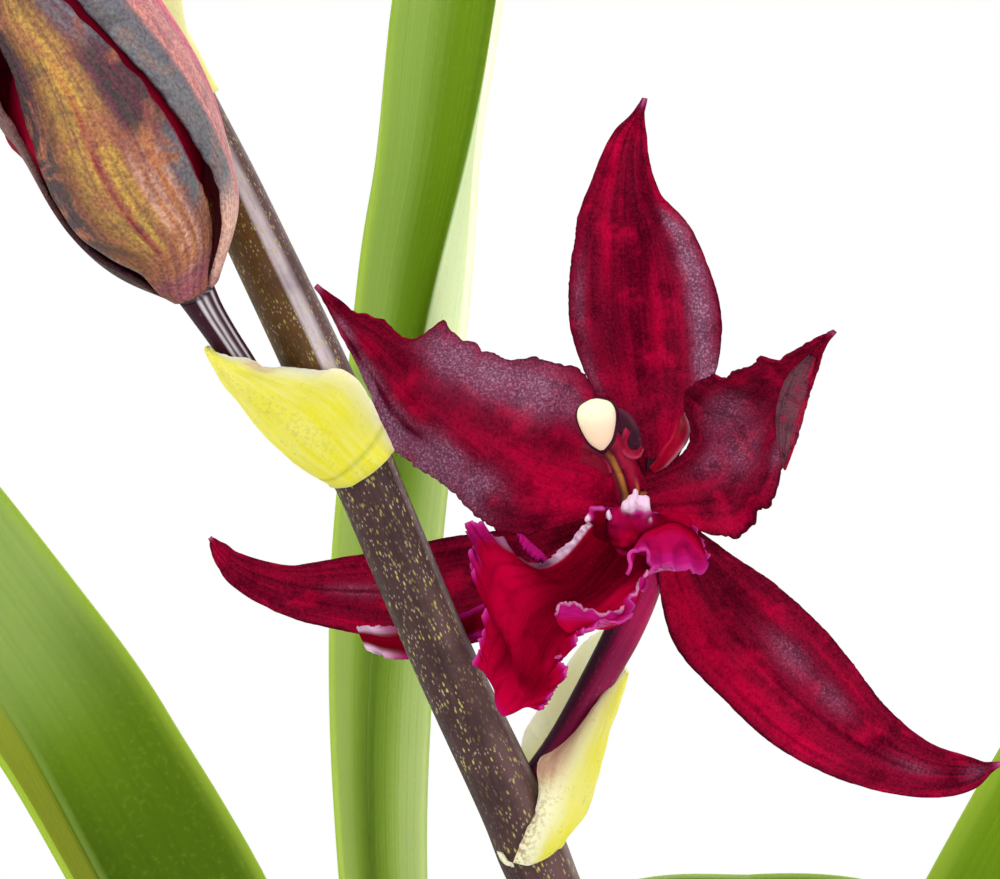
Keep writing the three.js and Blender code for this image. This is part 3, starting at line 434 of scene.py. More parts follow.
bulb_shape = track([[0.3], [0.62], [0.9], [1], [0.95], [0.78], [0.52], [0.27]])
flesh = bulb_flesh()
for bulb in BULBS:
    rows = []
    for t in steps(60):
        r = bulb_shape(t)[0]
        ring = []
        for a in around(72):
            groove = 0.015 + 0.02 * bulb["age"]
            furrow = 1 + groove * math.cos(FURROWS * a + 3 * bulb["age"]) * math.sin(math.pi * t)
            lump = 1 + 0.02 * uneven(2 * math.cos(a), 2 * math.sin(a), 3 * t + 7 * bulb["age"])
            p = Vector((r * bulb["wide"] * furrow * lump * math.cos(a),
                        r * bulb["deep"] * furrow * lump * math.sin(a),
                        BULB_FOOT + t * bulb["tall"]))
            ring.append(Matrix.Rotation(math.radians(bulb["turn"]), 3, "Z") @ p + Vector((*bulb["at"], 0)))
        rows.append(ring)

    def bulb_colour(t, v, age=bulb["age"]):
        fresh = toned(BULB_YELLOW, BULB_GREEN, soft(t, 0.05, 0.75))
        old = toned(fresh, BULB_YELLOW, 0.5 * age)
        scarred = toned(old, BULB_BROWN, 0.9 * soft(t, 0.965, 0.995) + 0.7 * soft(t, 0.16, 0.05))
        return toned(scarred, BULB_BROWN, 0.25 * age * soft(abs(math.sin(9 * v + 5 * t)), 0.8, 1))

    node = "pseudobulb_" + bulb["name"]
    made = skin(node + "_grown", rows, solid=True, colour=bulb_colour)
    stand_for(made, node, "bulb", flesh)

# Leaves: leathery straps that rise from the bulbs' tops and beside their feet, folded along a sunken midrib.
# The blade is under a millimetre thick, bright green where light comes through it, with fine veins along it.
LEAF_FOLDS = [66, 56, 46, 41, 38, 36, 34, 32, 30, 24]
LEAF_BLADE = 0.7
LEAF_ROWS = 96
FOOT_ROWS = 8
LEAF_GREEN = (0.12, 0.21, 0.006)
LEAF_DEEP = (0.06, 0.115, 0.001)
LEAF_PALE = (0.21, 0.31, 0.06)
LEAF_LIME = (0.3, 0.42, 0.04)
LEAF_PAINTED_BACKLIGHT = (0.9, 0.97, 0.66)
LEAF_OLIVE = (0.36, 0.38, 0.04)
LEAF_PAINTED_SHEEN = (0.25, 0.35, 0.09)
LEAF_BRIGHT = (0.175, 0.31, 0.006)
LIT_MARGIN = (0.4, 0.51, 0.14)
LIT_MIDDLE = (0.35, 0.49, 0.08)
LIT_FAR = (0.41, 0.5, 0.19)
TOP_MARGIN = (0.23, 0.34, 0.065)
TOP_MIDDLE = (0.13, 0.23, 0.006)
VEIN_SHADE = (0.6, 0.68, 0.4)
CLOUD_SHADE = (0.6, 0.72, 0.3)


# Paler margins are partly the blade's own colour and partly painted light shining through the thin edge.
def leaf_plain(t, v):
    body = toned(LEAF_DEEP, LEAF_GREEN, soft(t, 0.05, 0.7))
    body = toned(body, LEAF_LIME, 0.55 * soft(abs(v), 0.9, 1))
    return toned(body, LEAF_PALE, 0.4 * soft(abs(v), 0.06, 0.0))


# The left leaf's upper part carries a grey-green painted sheen, and its paler margins are partly their own
# colour and partly painted light shining through the thin edge.
def leaf_view_left_tone(t, v):
    body = toned(LEAF_DEEP, LEAF_GREEN, soft(t, 0.36, 0.48))
    body = toned(body, LEAF_PAINTED_SHEEN, 0.9 * soft(t, 0.44, 0.54))
    body = toned(body, LEAF_DEEP, 0.5 * soft(v, 0.4, 0.8) * soft(t, 0.56, 0.48))
    body = toned(body, LEAF_OLIVE, 0.7 * soft(v, 0, -0.25))
    body = toned(body, LEAF_PALE, 0.8 * soft(abs(v), 0.07, 0.0))
    return toned(body, LEAF_LIME, 0.9 * soft(abs(v), 0.9, 1))


# The middle leaf's colours hold painted light: its lower part is painted lighter to make up for the light
# that its deep fold keeps out, its left margin paler where light falls on it, and the right half of its
# upper part near white where light shines through it.
def leaf_view_middle_tone(t, v):
    low = toned(LIT_MARGIN, LIT_MIDDLE, soft(v, -0.75, -0.3))
    low = toned(low, LIT_FAR, soft(v, 0.3, 0.8))
    top = toned(TOP_MARGIN, TOP_MIDDLE, soft(v, -0.75, -0.35))
    top = toned(top, LEAF_DEEP, 0.35 * soft(abs(v + 0.08), 0.12, 0.0))
    top = toned(top, LEAF_PAINTED_BACKLIGHT, soft(v, 0.0, 0.14))
    body = toned(low, top, soft(t, 0.56, 0.62))
    return toned(body, LEAF_LIME, 0.6 * soft(v, -0.9, -1))


# The right leaf's left margin is painted paler where light falls on that edge.
def leaf_view_right_tone(t, v):
    body = toned(LEAF_DEEP, LEAF_BRIGHT, soft(t, 0.1, 0.5))
    return toned(body, LEAF_LIME, 0.8 * soft(v, -0.8, -1))


def margins(count):
    """The places across a blade, from -1 at its left margin to 1 at its right one."""
    return [2 * j / count - 1 for j in range(count + 1)]


def to_left(degrees):
    """The level direction that is turned from the viewer to the left."""
    return (-math.sin(math.radians(degrees)), -math.cos(math.radians(degrees)), 0)


LEAVES = [
    {
        "node": "leaf_view_left",
        "half": 14,
        "left": [0.7, 0.7],
        "right": [1, 1, 1, 1.28, 1.12, 1, 1, 1, 1, 1],
        "tone": leaf_view_left_tone,
        "faces": [(0.45, -0.86, 0.2), (0.52, -0.78, 0.35), (0.52, -0.78, 0.35), (0.5, -0.6, 0.6)],
        "foot": (1.4, -7.4, 163.5),
        "spine": [(-3, -8, 168.6), (-13, 2, 215), (-31, 7, 262), (-49.6, 10, 295.6), (-61, 11, 315.7),
                  (-80, 12, 341), (-105, 13, 362), (-136, 12, 374), (-166, 8, 372)],
    },
    {
        "node": "leaf_view_right",
        "half": 14,
        "tone": leaf_view_right_tone,
        "faces": [(-0.45, -0.86, 0.2), (-0.52, -0.78, 0.35), (-0.52, -0.78, 0.35), (-0.5, -0.6, 0.6)],
        "foot": (4.8, -6.8, 163.5),
        "spine": [(9, -6.4, 168.6), (20, 4, 214), (38, 10, 258), (57, 14, 293), (76, 17, 321),
                  (100, 19, 346), (130, 19, 362), (161, 16, 366), (190, 10, 356)],
    },
    {
        "node": "leaf_view_middle",
        "half": 12.6,
        "left": [1, 1, 1, 0.9, 0.9, 1.12, 1.3, 0.96, 1.22, 1.2, 1],
        "tone": leaf_view_middle_tone,
        "faces": [to_left(turn) for turn in (-5, -5, -5, -8, -8, 4, 42, 50, 52)],
        "folds": [72, 70, 68, 66, 64, 64, 47, 38, 32],
        "foot": (-1.2, 15.6, 159),
        "spine": [(-1, 16, 164.5), (-8, 19, 212), (-14.5, 23, 255), (-19.6, 25, 294), (-19.2, 25, 325),
                  (-13.6, 25, 357), (-6.9, 27, 385), (-0.4, 27, 425), (9, 25, 465)],
    },
    {
        "node": "leaf_back_arch",
        "half": 13,
        "faces": [(-0.4, -0.9, 0.1), (-0.3, -0.5, 0.8), (0, 0, 1)],
        "foot": (-4.2, 37.8, 151),
        "spine": [(-2, 37.3, 156.8), (2, 42, 206), (8, 54, 252), (13, 70, 277.5), (32, 90, 279),
                  (58, 108, 273.5), (76, 128, 244), (84, 142, 210)],
    },
    {
        "node": "leaf_back_left",
        "half": 13,
        "faces": [(0.76, -0.65, 0.1), (0.3, -0.2, 0.9)],
        "foot": (-5.8, 38.3, 151),
        "spine": [(-9.6, 39.8, 156.6), (-24, 44, 203), (-46, 54, 244), (-76, 70, 264), (-108, 88, 258),
                  (-134, 104, 232)],
    },
    {
        "node": "leaf_middle_back",
        "half": 12.5,
        "faces": [(0.2, -1, 0.1), (0.1, -0.3, 0.95)],
        "folds": [46, 46, 44, 40, 38, 36, 34, 32, 30, 24],
        "foot": (-1, 17.2, 159),
        "spine": [(-1.5, 20.6, 164.6), (-7, 33, 214), (-16, 58, 254), (-26, 90, 272), (-38, 124, 262),
                  (-50, 152, 232)],
    },
    {
        "node": "leaf_low_left",
        "half": 13,
        "faces": [(0.9, -0.3, 0.3), (0.3, -0.1, 0.95)],
        "spine": [(-18.5, -10, BARK_TOP - 2), (-27, -17, 146), (-51, -30, 186), (-82, -43, 210),
                  (-116, -57, 212), (-146, -70, 190)],
    },
    {
        "node": "leaf_low_right",
        "half": 13,
        "faces": [(-0.9, -0.1, 0.3), (-0.3, -0.1, 0.95)],
        "spine": [(24.5, -4, BARK_TOP - 2), (37, -7, 146), (64, -13, 184), (96, -19, 205), (130, -25, 204),
                  (158, -31, 183)],
    },
    {
        "node": "leaf_side_right",
        "half": 13,
        "faces": [(-0.8, -0.5, 0.3), (-0.3, -0.2, 0.9)],
        "spine": [(20, 16, BARK_TOP - 2), (35, 27, 156), (62, 38, 208), (96, 52, 240), (134, 65, 247),
                  (167, 74, 230)],
    },
    {
        "node": "leaf_side_left",
        "half": 13,
        "faces": [(0.8, -0.5, 0.3), (0.3, -0.2, 0.9)],
        "spine": [(-22, 17, BARK_TOP - 2), (-38, 26, 154), (-66, 36, 202), (-102, 49, 230), (-140, 61, 232),
                  (-170, 68, 212)],
    },
]


def strap():
    material, tree, shader = finish("leaf_strap", Roughness=0.42, Specular_IOR_Level=0.06,
                                    Subsurface_Weight=0.35, Subsurface_Radius=(0.7, 1.0, 0.2),
                                    Subsurface_Scale=0.0012)
    place = where(tree)
    tint = painted(tree)
    veins = drawn_out(tree, (46.0, 1.4), 2.0)
    clouds = grain(tree, place, 34.0, 3.0)
    cells = grain(tree, place, 1500.0, 2.0)
    body = stain(tree, tint, VEIN_SHADE, veins, 0.35, 0.65, 0.25, "MULTIPLY")
    body = stain(tree, body, CLOUD_SHADE, clouds, 0.4, 0.7, 0.2, "MULTIPLY")
    body = stain(tree, body, LEAF_LIME, cells, 0.55, 0.75, 0.12)
    cover(tree, shader, body)
    feed(tree, shader.inputs["Roughness"], grade(tree, clouds, 0.3, 0.7, 0.35, 0.5))
    emboss(tree, shader, 0.12, veins, cells, 0.15)
    return material


def direction(path, t):
    """The way that a track runs at t."""
    return (Vector(path(min(t + 1e-3, 1))[:3]) - Vector(path(max(t - 1e-3, 0))[:3])).normalized()


def standing(path, t, facing):
    """The place on a track, its side at the viewer's right and the way that its face looks."""
    ahead = direction(path, t)
    side = ahead.cross(facing).normalized()
    return Vector(path(t)[:3]), side, side.cross(ahead)


def thicken(made, thickness):
    """Gives a blade its thickness, with the second material on its other side and its rim."""
    body = made.modifiers.new("thickness", "SOLIDIFY")
    body.thickness = thickness * MM
    body.offset = 0
    body.material_offset = 1
    body.use_quality_normals = True


leaf_width = track([[0.42], [0.6], [0.8], [0.92], [1], [1], [0.96], [0.84], [0.58], [0.03]])


def leaf_rows(leaf, along=LEAF_ROWS, across=28):
    path = track(leaf["spine"])
    fold = track([[angle] for angle in leaf.get("folds", LEAF_FOLDS)])
    facing = track(leaf["faces"])
    shares = [track([[share] for share in leaf.get(side, [1, 1])]) for side in ("left", "right")]
    phase = sum(leaf["spine"][-1])
    rows = []
    for t in steps(along):
        point, side, face = standing(path, t, Vector(facing(t)))
        wide = leaf["half"] * leaf_width(t)[0]
        angle = math.radians(fold(t)[0])
        row = []
        for v in margins(across):
            share = shares[v > 0](t)[0]
            round_v = math.sqrt(v * v + 0.004) - 0.063
            rise = wide * math.sin(angle) * (0.8 * round_v + 0.2 * v * v)
            ripple = 0.35 * v * v * math.sin(23 * t + phase + 2 * v) * math.sin(math.pi * t)
            row.append(point + side * (wide * math.cos(angle) * share * v) + face * (share * rise + ripple))
        rows.append(row)
    return rows


def rooted(rows, foot):
    """Rows with a foot before them, which draws the blade's base together into the bulb's tip."""
    first = rows[0]
    centre = sum(first, Vector()) / len(first)
    neck = [Vector(foot) + (p - centre) * 0.35 for p in first]
    return [[p.lerp(q, soft(k, 0, FOOT_ROWS)) for p, q in zip(neck, first)] for k in range(FOOT_ROWS)] + rows


leaf_top = strap()
for leaf in LEAVES:
    tone = leaf.get("tone", leaf_plain)
    rows = leaf_rows(leaf)
    if "foot" in leaf:
        rows = rooted(rows, leaf["foot"])
    added = 1 - LEAF_ROWS / (len(rows) - 1)

    def leaf_colour(t, v, tone=tone, added=added):
        return tone(max((t - added) / (1 - added), 0), 2 * v - 1)

    made = skin(leaf["node"] + "_grown", rows, colour=leaf_colour)
    thicken(made, LEAF_BLADE)
    stand_for(made, leaf["node"], "leaf", leaf_top)

# Roots: a few thick aerial roots that creep from the bulbs' feet over the bark and dive into it.
# Each is a wiry core in a spongy silver-grey skin, which is greener where it is damp.
ROOTS = {
    "root_front": [(-3, -18, 96, 1.4), (-6, -27, 101.5, 1.6), (-2, -37, 101.5, 1.5), (6, -45, 98, 1.4),
                   (9, -49, 92, 1.2)],
    "root_left": [(-9, -17, 96, 1.4), (-17, -21, 102, 1.6), (-27, -28, 101.5, 1.6), (-34, -35, 97.5, 1.4),
                  (-36, -38, 91, 1.1)],
    "root_right": [(19.5, 3, 96, 1.3), (30, 5, 102, 1.5), (41, 5, 101, 1.5), (48, 2, 97, 1.3),
                   (50, -1, 91, 1.1)],
    "root_back": [(-17, 27, 96, 1.3), (-25, 34, 102, 1.5), (-28, 40, 101, 1.4), (-25, 45, 96, 1.2),
                  (-21, 46, 90, 1.1)],
}
ROOT_SILVER = (0.56, 0.57, 0.46)
ROOT_GREEN = (0.25, 0.31, 0.12)
ROOT_DUST = (0.3, 0.25, 0.17)


def velamen():
    material, tree, shader = finish("root_skin", Roughness=0.8, Specular_IOR_Level=0.2)
    place = where(tree)
    damp = grain(tree, place, 130.0, 4.0)
    fine = grain(tree, place, 1400.0, 4.0)
    body = stain(tree, ROOT_SILVER, ROOT_GREEN, damp, 0.45, 0.65)
    cover(tree, shader, stain(tree, body, ROOT_DUST, fine, 0.4, 0.7, 0.4))
    emboss(tree, shader, 0.25, damp, fine, 0.4)
    return material


def rod(stations, along, sides, facing=(0.3, -1, 0.1), section=None):
    """Rings of points round a track of [x, y, z, radius], which start at the back. A section scales them."""
    path = track(stations)
    rows = []
    for t in steps(along):
        point, side, face = standing(path, t, Vector(facing))
        ring = []
        for a in around(sides):
            r = path(t)[3] * (section(t, a) if section else 1)
            ring.append(point + side * (r * math.sin(a)) - face * (r * math.cos(a)))
        rows.append(ring)
    return rows


root_skin = velamen()
for name, stations in ROOTS.items():
    def knobbly(t, a, name=name):
        return 1 + 0.07 * uneven(9 * t, math.cos(a), math.sin(a) + len(name))

    made = skin(name + "_grown", rod(stations, 60, 20, (0.1, 0.1, 1), knobbly), solid=True)
    stand_for(made, name, "root", root_skin)

# Flower spike: a slim woody stem that leaves the bark beside the front bulb and arches to the left.
# It is round and a little swollen at each node, dark brown-purple, and freckled with pale dashes.
SPIKE = [
    (8.5, -21, 88, 3.6),
    (12.5, -23.5, 112, 3.8),
    (19.6, -30, 149, 3.5),
    (22.8, -40, 199, 3.3),
    (16.6, -50, 249, 3.2),
    (6.9, -55.5, 282, 3.2),
    (-1.7, -58, 304.5, 3.3),
    (-10.4, -59, 323.4, 3.1),
    (-18.9, -60, 343.3, 3.15),
    (-27.2, -61.5, 361.3, 3.0),
    (-35.7, -63, 378.3, 2.75),
    (-50.8, -65.5, 403, 2.5),
    (-66, -67.5, 424, 2.1),
    (-82, -69, 441, 1.7),
    (-92, -70, 449.5, 1.3),
]
LAST_STATION = len(SPIKE) - 1
STEM_BROWN = (0.024, 0.009, 0.009)
STEM_DUSTY = (0.1, 0.05, 0.048)
STEM_OLIVE = (0.1, 0.045, 0.008)
STEM_LILAC = (0.5, 0.42, 0.44)
STEM_GREEN = (0.16, 0.2, 0.04)
FLECK = (0.46, 0.42, 0.1)
FLECK_PALE = (0.4, 0.33, 0.24)
STEM_SHADE = (0.4, 0.35, 0.4)
# Each kind of fleck is its [cells round and along the stem, reach, share left out, colour].
FLECKS = [((56.0, 330.0, 1.0), 0.36, 0.35, FLECK), ((80.0, 560.0, 1.0), 0.36, 0.4, FLECK_PALE)]
# A place on the spike is its count of stations from the foot.
NODE_STATIONS = (1.9, 3.9, 6, 8, 10, 11.1, 12.1)


def stem():
    material, tree, shader = finish("spike_bark", Roughness=0.45, Specular_IOR_Level=0.15)
    place = where(tree)
    across = put(tree, "UVMap")
    tint = painted(tree)
    patches = grain(tree, place, 260.0, 3.0)
    streaks = drawn_out(tree, (40.0, 60.0), 5.0)
    body = stain(tree, tint, STEM_DUSTY, streaks, 0.45, 0.7, 0.35)
    body = stain(tree, body, STEM_SHADE, patches, 0.5, 0.35, 0.5, "MULTIPLY")
    freckles = 0.0
    for cells, dot, luckier, tone in FLECKS:
        dashes = put(tree, "Mapping", Vector=across, Scale=cells)
        near = put(tree, "TexVoronoi", Vector=dashes, Scale=1.0)
        luck = put(tree, "SeparateXYZ", Vector=put(tree, "TexVoronoi", 1, Vector=dashes, Scale=1.0))
        dash = sums(tree, "MULTIPLY", grade(tree, near, dot, 0.1), sums(tree, "GREATER_THAN", luck, luckier))
        dash = sums(tree, "MULTIPLY", dash, grade(tree, patches, 0.42, 0.55, 0.15, 0.9))
        body = blend(tree, dash, body, tone)
        freckles = sums(tree, "ADD", freckles, dash)
    cover(tree, shader, body)
    emboss(tree, shader, 0.08, streaks, freckles, 0.5)
    return material


def swollen(t, a):
    s = t * LAST_STATION
    return 1 + 0.05 * sum(math.exp(-(((s - node) / 0.12) ** 2)) for node in NODE_STATIONS)


# The lilac stripe along the upper stem and the faint lilac line along the lower stem are painted highlights.
def stem_colour(t, v):
    s = t * LAST_STATION
    turn = 360 * v
    upper = soft(s, 7.9, 8.1)
    dusty = 0.2 + 0.7 * soft(turn, 185, 150) * soft(s, 7.6, 7) + 0.1 * soft(s, 7, 6)
    body = toned(STEM_BROWN, STEM_DUSTY, dusty)
    body = toned(body, STEM_GREEN, 0.7 * soft(s, 3.2, 0.5))
    body = toned(body, STEM_DUSTY, upper * soft(turn, 150, 138))
    body = toned(body, STEM_OLIVE, upper * soft(turn, 168, 173) * soft(turn, 300, 280))
    body = toned(body, STEM_LILAC, upper * soft(abs(turn - 155), 15, 10))
    return toned(body, STEM_LILAC, 0.25 * soft(abs(turn - 112), 16, 4) * (1 - upper))


spike_bark = stem()
spike_rows = rod(SPIKE, 360, 48, (0, -1, 0), swollen)
spike = skin("flower_spike_grown", spike_rows, solid=True, colour=stem_colour)
stand_for(spike, "flower_spike", "stem", spike_bark)

# Bracts and sheaths: thin papery scales, one at each node, that wrap the spike and shield what grows there.
# The flower's and the bud's are lemon yellow boats with a withered, brown-freckled rim.
BRACT_LEMON = (0.86, 0.72, 0.08)
BRACT_YELLOW = (0.84, 0.69, 0.02)
BRACT_CREAM = (0.9, 0.8, 0.42)
BRACT_PALE = (0.9, 0.83, 0.38)
BRACT_PAINTED_BACKLIGHT = (0.97, 0.95, 0.64)
BRACT_LIME = (0.4, 0.42, 0.02)
BRACT_TAN = (0.36, 0.24, 0.14)
BRACT_ROSY = (0.42, 0.2, 0.16)
BRACT_BLADE = 0.45
FLOWER = Vector((10, -50, 339))
# Both bracts are lines that run from the foot to the tip, set side by side from the near margin round the
# keel to the far margin. Their points are measured from the flower's centre.
FLOWER_BRACT = [
    [(-13.5, -11.4, -35.5), (-12.3, -11.4, -32.4), (-11.3, -11.2, -30.4), (-10.9, -10.8, -28.6),
     (-11.1, -10.2, -26.6), (-10.8, -9.6, -25.6), (-9.5, -8.8, -24.9), (-7.5, -7.4, -23.5),
     (-5.9, -5.6, -21.6), (-4.7, -3.6, -19.6), (-3.5, -1.8, -18.1), (-1.9, 0, -17.0)],
    [(-11.9, -11.5, -35.7), (-10.8, -12, -33.0), (-9.7, -12.1, -30.5), (-9.1, -11.7, -27.9),
     (-8.5, -10.9, -26.0), (-7.5, -9.8, -24.1), (-6.4, -8.2, -22.4), (-5.2, -5.8, -20.4),
     (-4.1, -3.6, -19.0), (-3.0, -1.6, -17.9), (-1.9, 0, -17.0)],
    [(-9.9, -10.8, -34.8), (-8.5, -11.2, -32.2), (-7.4, -11, -29.7), (-6.7, -10.2, -27.4),
     (-6.0, -9, -25.1), (-5.0, -7.2, -22.8), (-4.2, -5.2, -20.9), (-3.3, -2.8, -19.1), (-1.9, 0.1, -17.0)],
    [(-8.4, -8, -33.0), (-6.6, -8.4, -31.0), (-5.7, -7.8, -28.6), (-4.7, -6.4, -25.1), (-3.8, -4.4, -22.1),
     (-2.8, -2, -19.7), (-1.9, 0.4, -16.9)],
    [(-8.7, -4.6, -32.4), (-7.3, -4.5, -30.5), (-6.3, -4, -27.9), (-5.2, -2.6, -24.8), (-4.3, -0.8, -22.0),
     (-3.3, 1, -19.5), (-2.0, 2.6, -16.3)],
    [(-10.3, -3.9, -33.5), (-9.2, -3.6, -30.5), (-8.4, -2.8, -27.8), (-7.4, -1, -24.9), (-6.2, 1, -21.8),
     (-4.5, 2.8, -18.3), (-2.7, 4, -14.7)],
    [(-12.4, -4.2, -30.4), (-12.7, -3.6, -27.0), (-12.5, -2.6, -23.7), (-11.0, -1, -21.1),
     (-9.5, 0.6, -18.9), (-8.0, 2, -16.6), (-6.1, 3.4, -14.3), (-3.6, 4.4, -12.9)],
]
BRACT_HEM = [
    [(-13.6, -4.2, -33.1), (-14.8, -6, -33.5), (-15.1, -8, -34.1), (-14.7, -10.4, -34.7),
     (-14.1, -11.3, -35.3), (-13.5, -11.5, -35.6)],
    [(-13.4, -4.2, -34.1), (-14.5, -6, -34.7), (-14.8, -8, -35.0), (-14.4, -10.6, -35.4),
     (-13.9, -11.5, -35.8), (-13.4, -11.6, -35.9)],
]
BUD_BRACT = [
    [(-25.5, -9.6, 4.8), (-26.4, -10.6, 7.0), (-27.3, -11.6, 9.1), (-28.4, -12.5, 11.1),
     (-29.3, -13.3, 12.1), (-30.4, -14, 12.7), (-31.7, -14.2, 12.5), (-33.8, -14.7, 12.6),
     (-36.0, -15.4, 12.8), (-37.7, -17.1, 12.9), (-38.9, -17.9, 13.5), (-41.0, -18.6, 13.9),
     (-42.5, -18.7, 14.4), (-43.2, -18.8, 14.9)],
    [(-25.9, -13, 3.8), (-28.2, -13.6, 6.0), (-30.3, -14.6, 8.7), (-32.7, -15, 10.4), (-35.1, -15.8, 11.2),
     (-37.8, -17.4, 12.0), (-39.8, -18.6, 12.8), (-41.6, -18.8, 13.6), (-43.2, -18.8, 14.9)],
    [(-28.1, -13.2, 2.0), (-30.3, -14.6, 4.3), (-33.2, -15.8, 7.0), (-36.1, -16.8, 9.2), (-38.7, -18, 11.0),
     (-40.8, -18.8, 12.5), (-42.1, -18.9, 13.7), (-43.2, -18.8, 14.9)],
    [(-29.7, -12.6, 1.3), (-32.1, -14.2, 2.9), (-34.8, -15.4, 5.1), (-37.5, -16.4, 7.9),
     (-39.6, -17.3, 10.1), (-41.3, -18.2, 12.1), (-42.4, -18.7, 13.6), (-43.2, -18.8, 14.9)],
    [(-31.1, -10.2, 1.4), (-33.6, -12.4, 2.9), (-35.7, -13.8, 4.6), (-38.1, -14.8, 7.1),
     (-40.0, -15.8, 9.6), (-41.5, -16.8, 11.4), (-42.6, -17.9, 13.4), (-43.2, -18.8, 14.9)],
    [(-30.6, -6.8, 2.4), (-32.7, -9, 4.6), (-35.2, -10.6, 6.8), (-37.6, -12.2, 9.2), (-39.6, -13.6, 11.1),
     (-41.4, -15.4, 12.6), (-42.5, -17.2, 13.9), (-43.2, -18.8, 14.9)],
    [(-28.6, -6.4, 4.3), (-30.8, -6.6, 7.3), (-33.5, -8.2, 9.7), (-36.1, -10.4, 11.5), (-38.6, -12.8, 12.5),
     (-40.4, -15, 13.3), (-41.8, -17, 13.9), (-43.2, -18.8, 14.9)],
]
PLAIN_BRACT = [
    (0, 0, 0, 1.03, -168, 168),
    (0, 0, 0.7, 1.04, -158, 158),
    (0.02, 0, 1.5, 1.06, -124, 124),
    (0.04, 0, 2.4, 1.08, -92, 92),
    (0.38, 0, 3.5, 1.1, -75, 75),
    (0.98, 0, 4.8, 1.06, -70, 70),
    (1.9, 0, 6, 0.8, -70, 70),
    (2.75, 0, 6.9, 0.3, -60, 60),
]
LOW_SHEATH = [
    (0, 0, 0, 1.27, -168, 168),
    (0, 0, 1.3, 1.27, -162, 162),
    (0, 0, 2.6, 1.29, -122, 122),
    (0.05, 0, 3.9, 1.27, -76, 76),
    (0.1, 0, 5, 1.24, -36, 36),
    (0.2, 0, 5.6, 1.2, -12, 12),
]
CLEARANCE = 0.3
UPPER_NODES = [
    {"name": "upper_1", "station": 9.95, "sign": 1, "bud": 25, "stalk": 15},
    {"name": "upper_2", "station": 11.1, "sign": -1, "bud": 20, "stalk": 12},
    {"name": "upper_3", "station": 12.1, "sign": 1, "bud": 16, "stalk": 9},
]
LOWER_NODES = [
    {"name": "lower_1", "station": 1.9, "sign": -1},
    {"name": "lower_2", "station": 3.9, "sign": 1},
]
VIEWER = Vector((0, -1, 0))
spike_at = track(SPIKE)


def trough(stations, place):
    """Rows round a track of [x, y, z, radius, first angle, last angle]. An angle of 0 is the way out of the
    spike."""
    path = track(stations)
    rows = []
    for t in steps(48):
        x, y, z, radius, first, last = path(t)
        ahead = direction(path, t)
        outward = (Vector((1, 0, 0)) - ahead * ahead.x).normalized()
        away = ahead.cross(outward)
        row = []
        for j in range(37):
            a = math.radians(first + (last - first) * j / 36)
            spot = Vector((x, y, z)) + outward * (radius * math.cos(a)) + away * (radius * math.sin(a))
            row.append(place(spot))
        rows.append(row)
    return rows


def lines_rows(lines, along, across, ruffle=None):
    """Rows of a blade that runs through several lines side by side, with its margins ruffled."""
    tracks = [track(line) for line in lines]
    rows = []
    for t in steps(along):
        across_track = track([line(t) for line in tracks])
        rows.append([FLOWER + Vector(across_track(s)) for s in steps(across)])
    if not ruffle:
        return rows
    ruffled = []
    for i, row in enumerate(rows):
        before = rows[max(i - 1, 0)]
        after = rows[min(i + 1, along)]
        line = []
        for j, (p, v) in enumerate(zip(row, margins(across))):
            out = (row[min(j + 1, across)] - row[max(j - 1, 0)]).normalized()
            ahead = (after[j] - before[j]).normalized()
            normal = ahead.cross(out).normalized()
            rise, reach = ruffle(i / along, v)
            line.append(p + normal * rise + out * (reach * math.copysign(1, v)))
        ruffled.append(line)
    return ruffled


def hug(rows, station):
    """Lays rows of a bract on the spike's skin round a station, wherever they would run inside it."""
    nearby = [spike_at((station + k / 20) / LAST_STATION) for k in range(-24, 25)]
    for row in rows:
        for j, p in enumerate(row):
            *core, radius = min(nearby, key=lambda spot: (Vector(spot[:3]) - p).length_squared)
            away = p - Vector(core)
            if away.length < radius + CLEARANCE:
                row[j] = Vector(core) + away.normalized() * (radius + CLEARANCE)
    return rows


def papery(t, v):
    """The faint waves of a withered blade, strongest at its margins."""
    wave = 0.12 * uneven(9 * t, 2 * v, 1) + 0.1 * v ** 4 * uneven(34 * t, v, 5)
    return wave, 0.12 * v ** 6 * uneven(40 * t, 3 * v, 2)


def paper(name, freckle):
    material, tree, shader = finish(name, Roughness=0.5, Specular_IOR_Level=0.08, Subsurface_Weight=0.85,
                                    Subsurface_Radius=(1.0, 0.95, 0.5), Subsurface_Scale=0.003)
    place = where(tree)
    tint = painted(tree)
    dry = painted(tree, 1)
    fine = grain(tree, place, 2500.0, 3.0)
    fibre = drawn_out(tree, (26.0, 5.0), 4.0)
    patches = grain(tree, place, 420.0, 3.0)
    body = stain(tree, tint, BRACT_PALE, fibre, 0.4, 0.7, 0.3)
    dots = sums(tree, "MULTIPLY", grade(tree, fine, 0.56, 0.66), grade(tree, patches, 0.5, 0.62))
    body = blend(tree, sums(tree, "MULTIPLY", dots, freckle), body, BRACT_TAN)
    stipple = sums(tree, "MULTIPLY", grade(tree, fine, 0.47, 0.58), dry)
    cover(tree, shader, blend(tree, stipple, body, BRACT_TAN))
    emboss(tree, shader, 0.12, fibre, fine, 0.3)
    return material


# The far wall of the flower's bract is painted near white, as painted light shining through it.
def flower_bract_colour(t, v):
    body = toned(BRACT_CREAM, BRACT_LEMON, soft(v, 0.12, 0.36))
    body = toned(body, BRACT_YELLOW, soft(t, 0.2, 0.05) * soft(v, 0.15, 0.3))
    body = toned(body, BRACT_ROSY, soft(v, 0.26, 0.08) * soft(abs(t - 0.6), 0.36, 0.22))
    body = toned(body, BRACT_PAINTED_BACKLIGHT, soft(v, 0.58, 0.68))
    withered = soft(v, 0.22, 0.02) * (0.5 + 0.5 * soft(t, 0.3, 0.1))
    return (*toned(body, BRACT_TAN, 0.4 * soft(v, 0.035, 0.0)), 0.9 * withered)


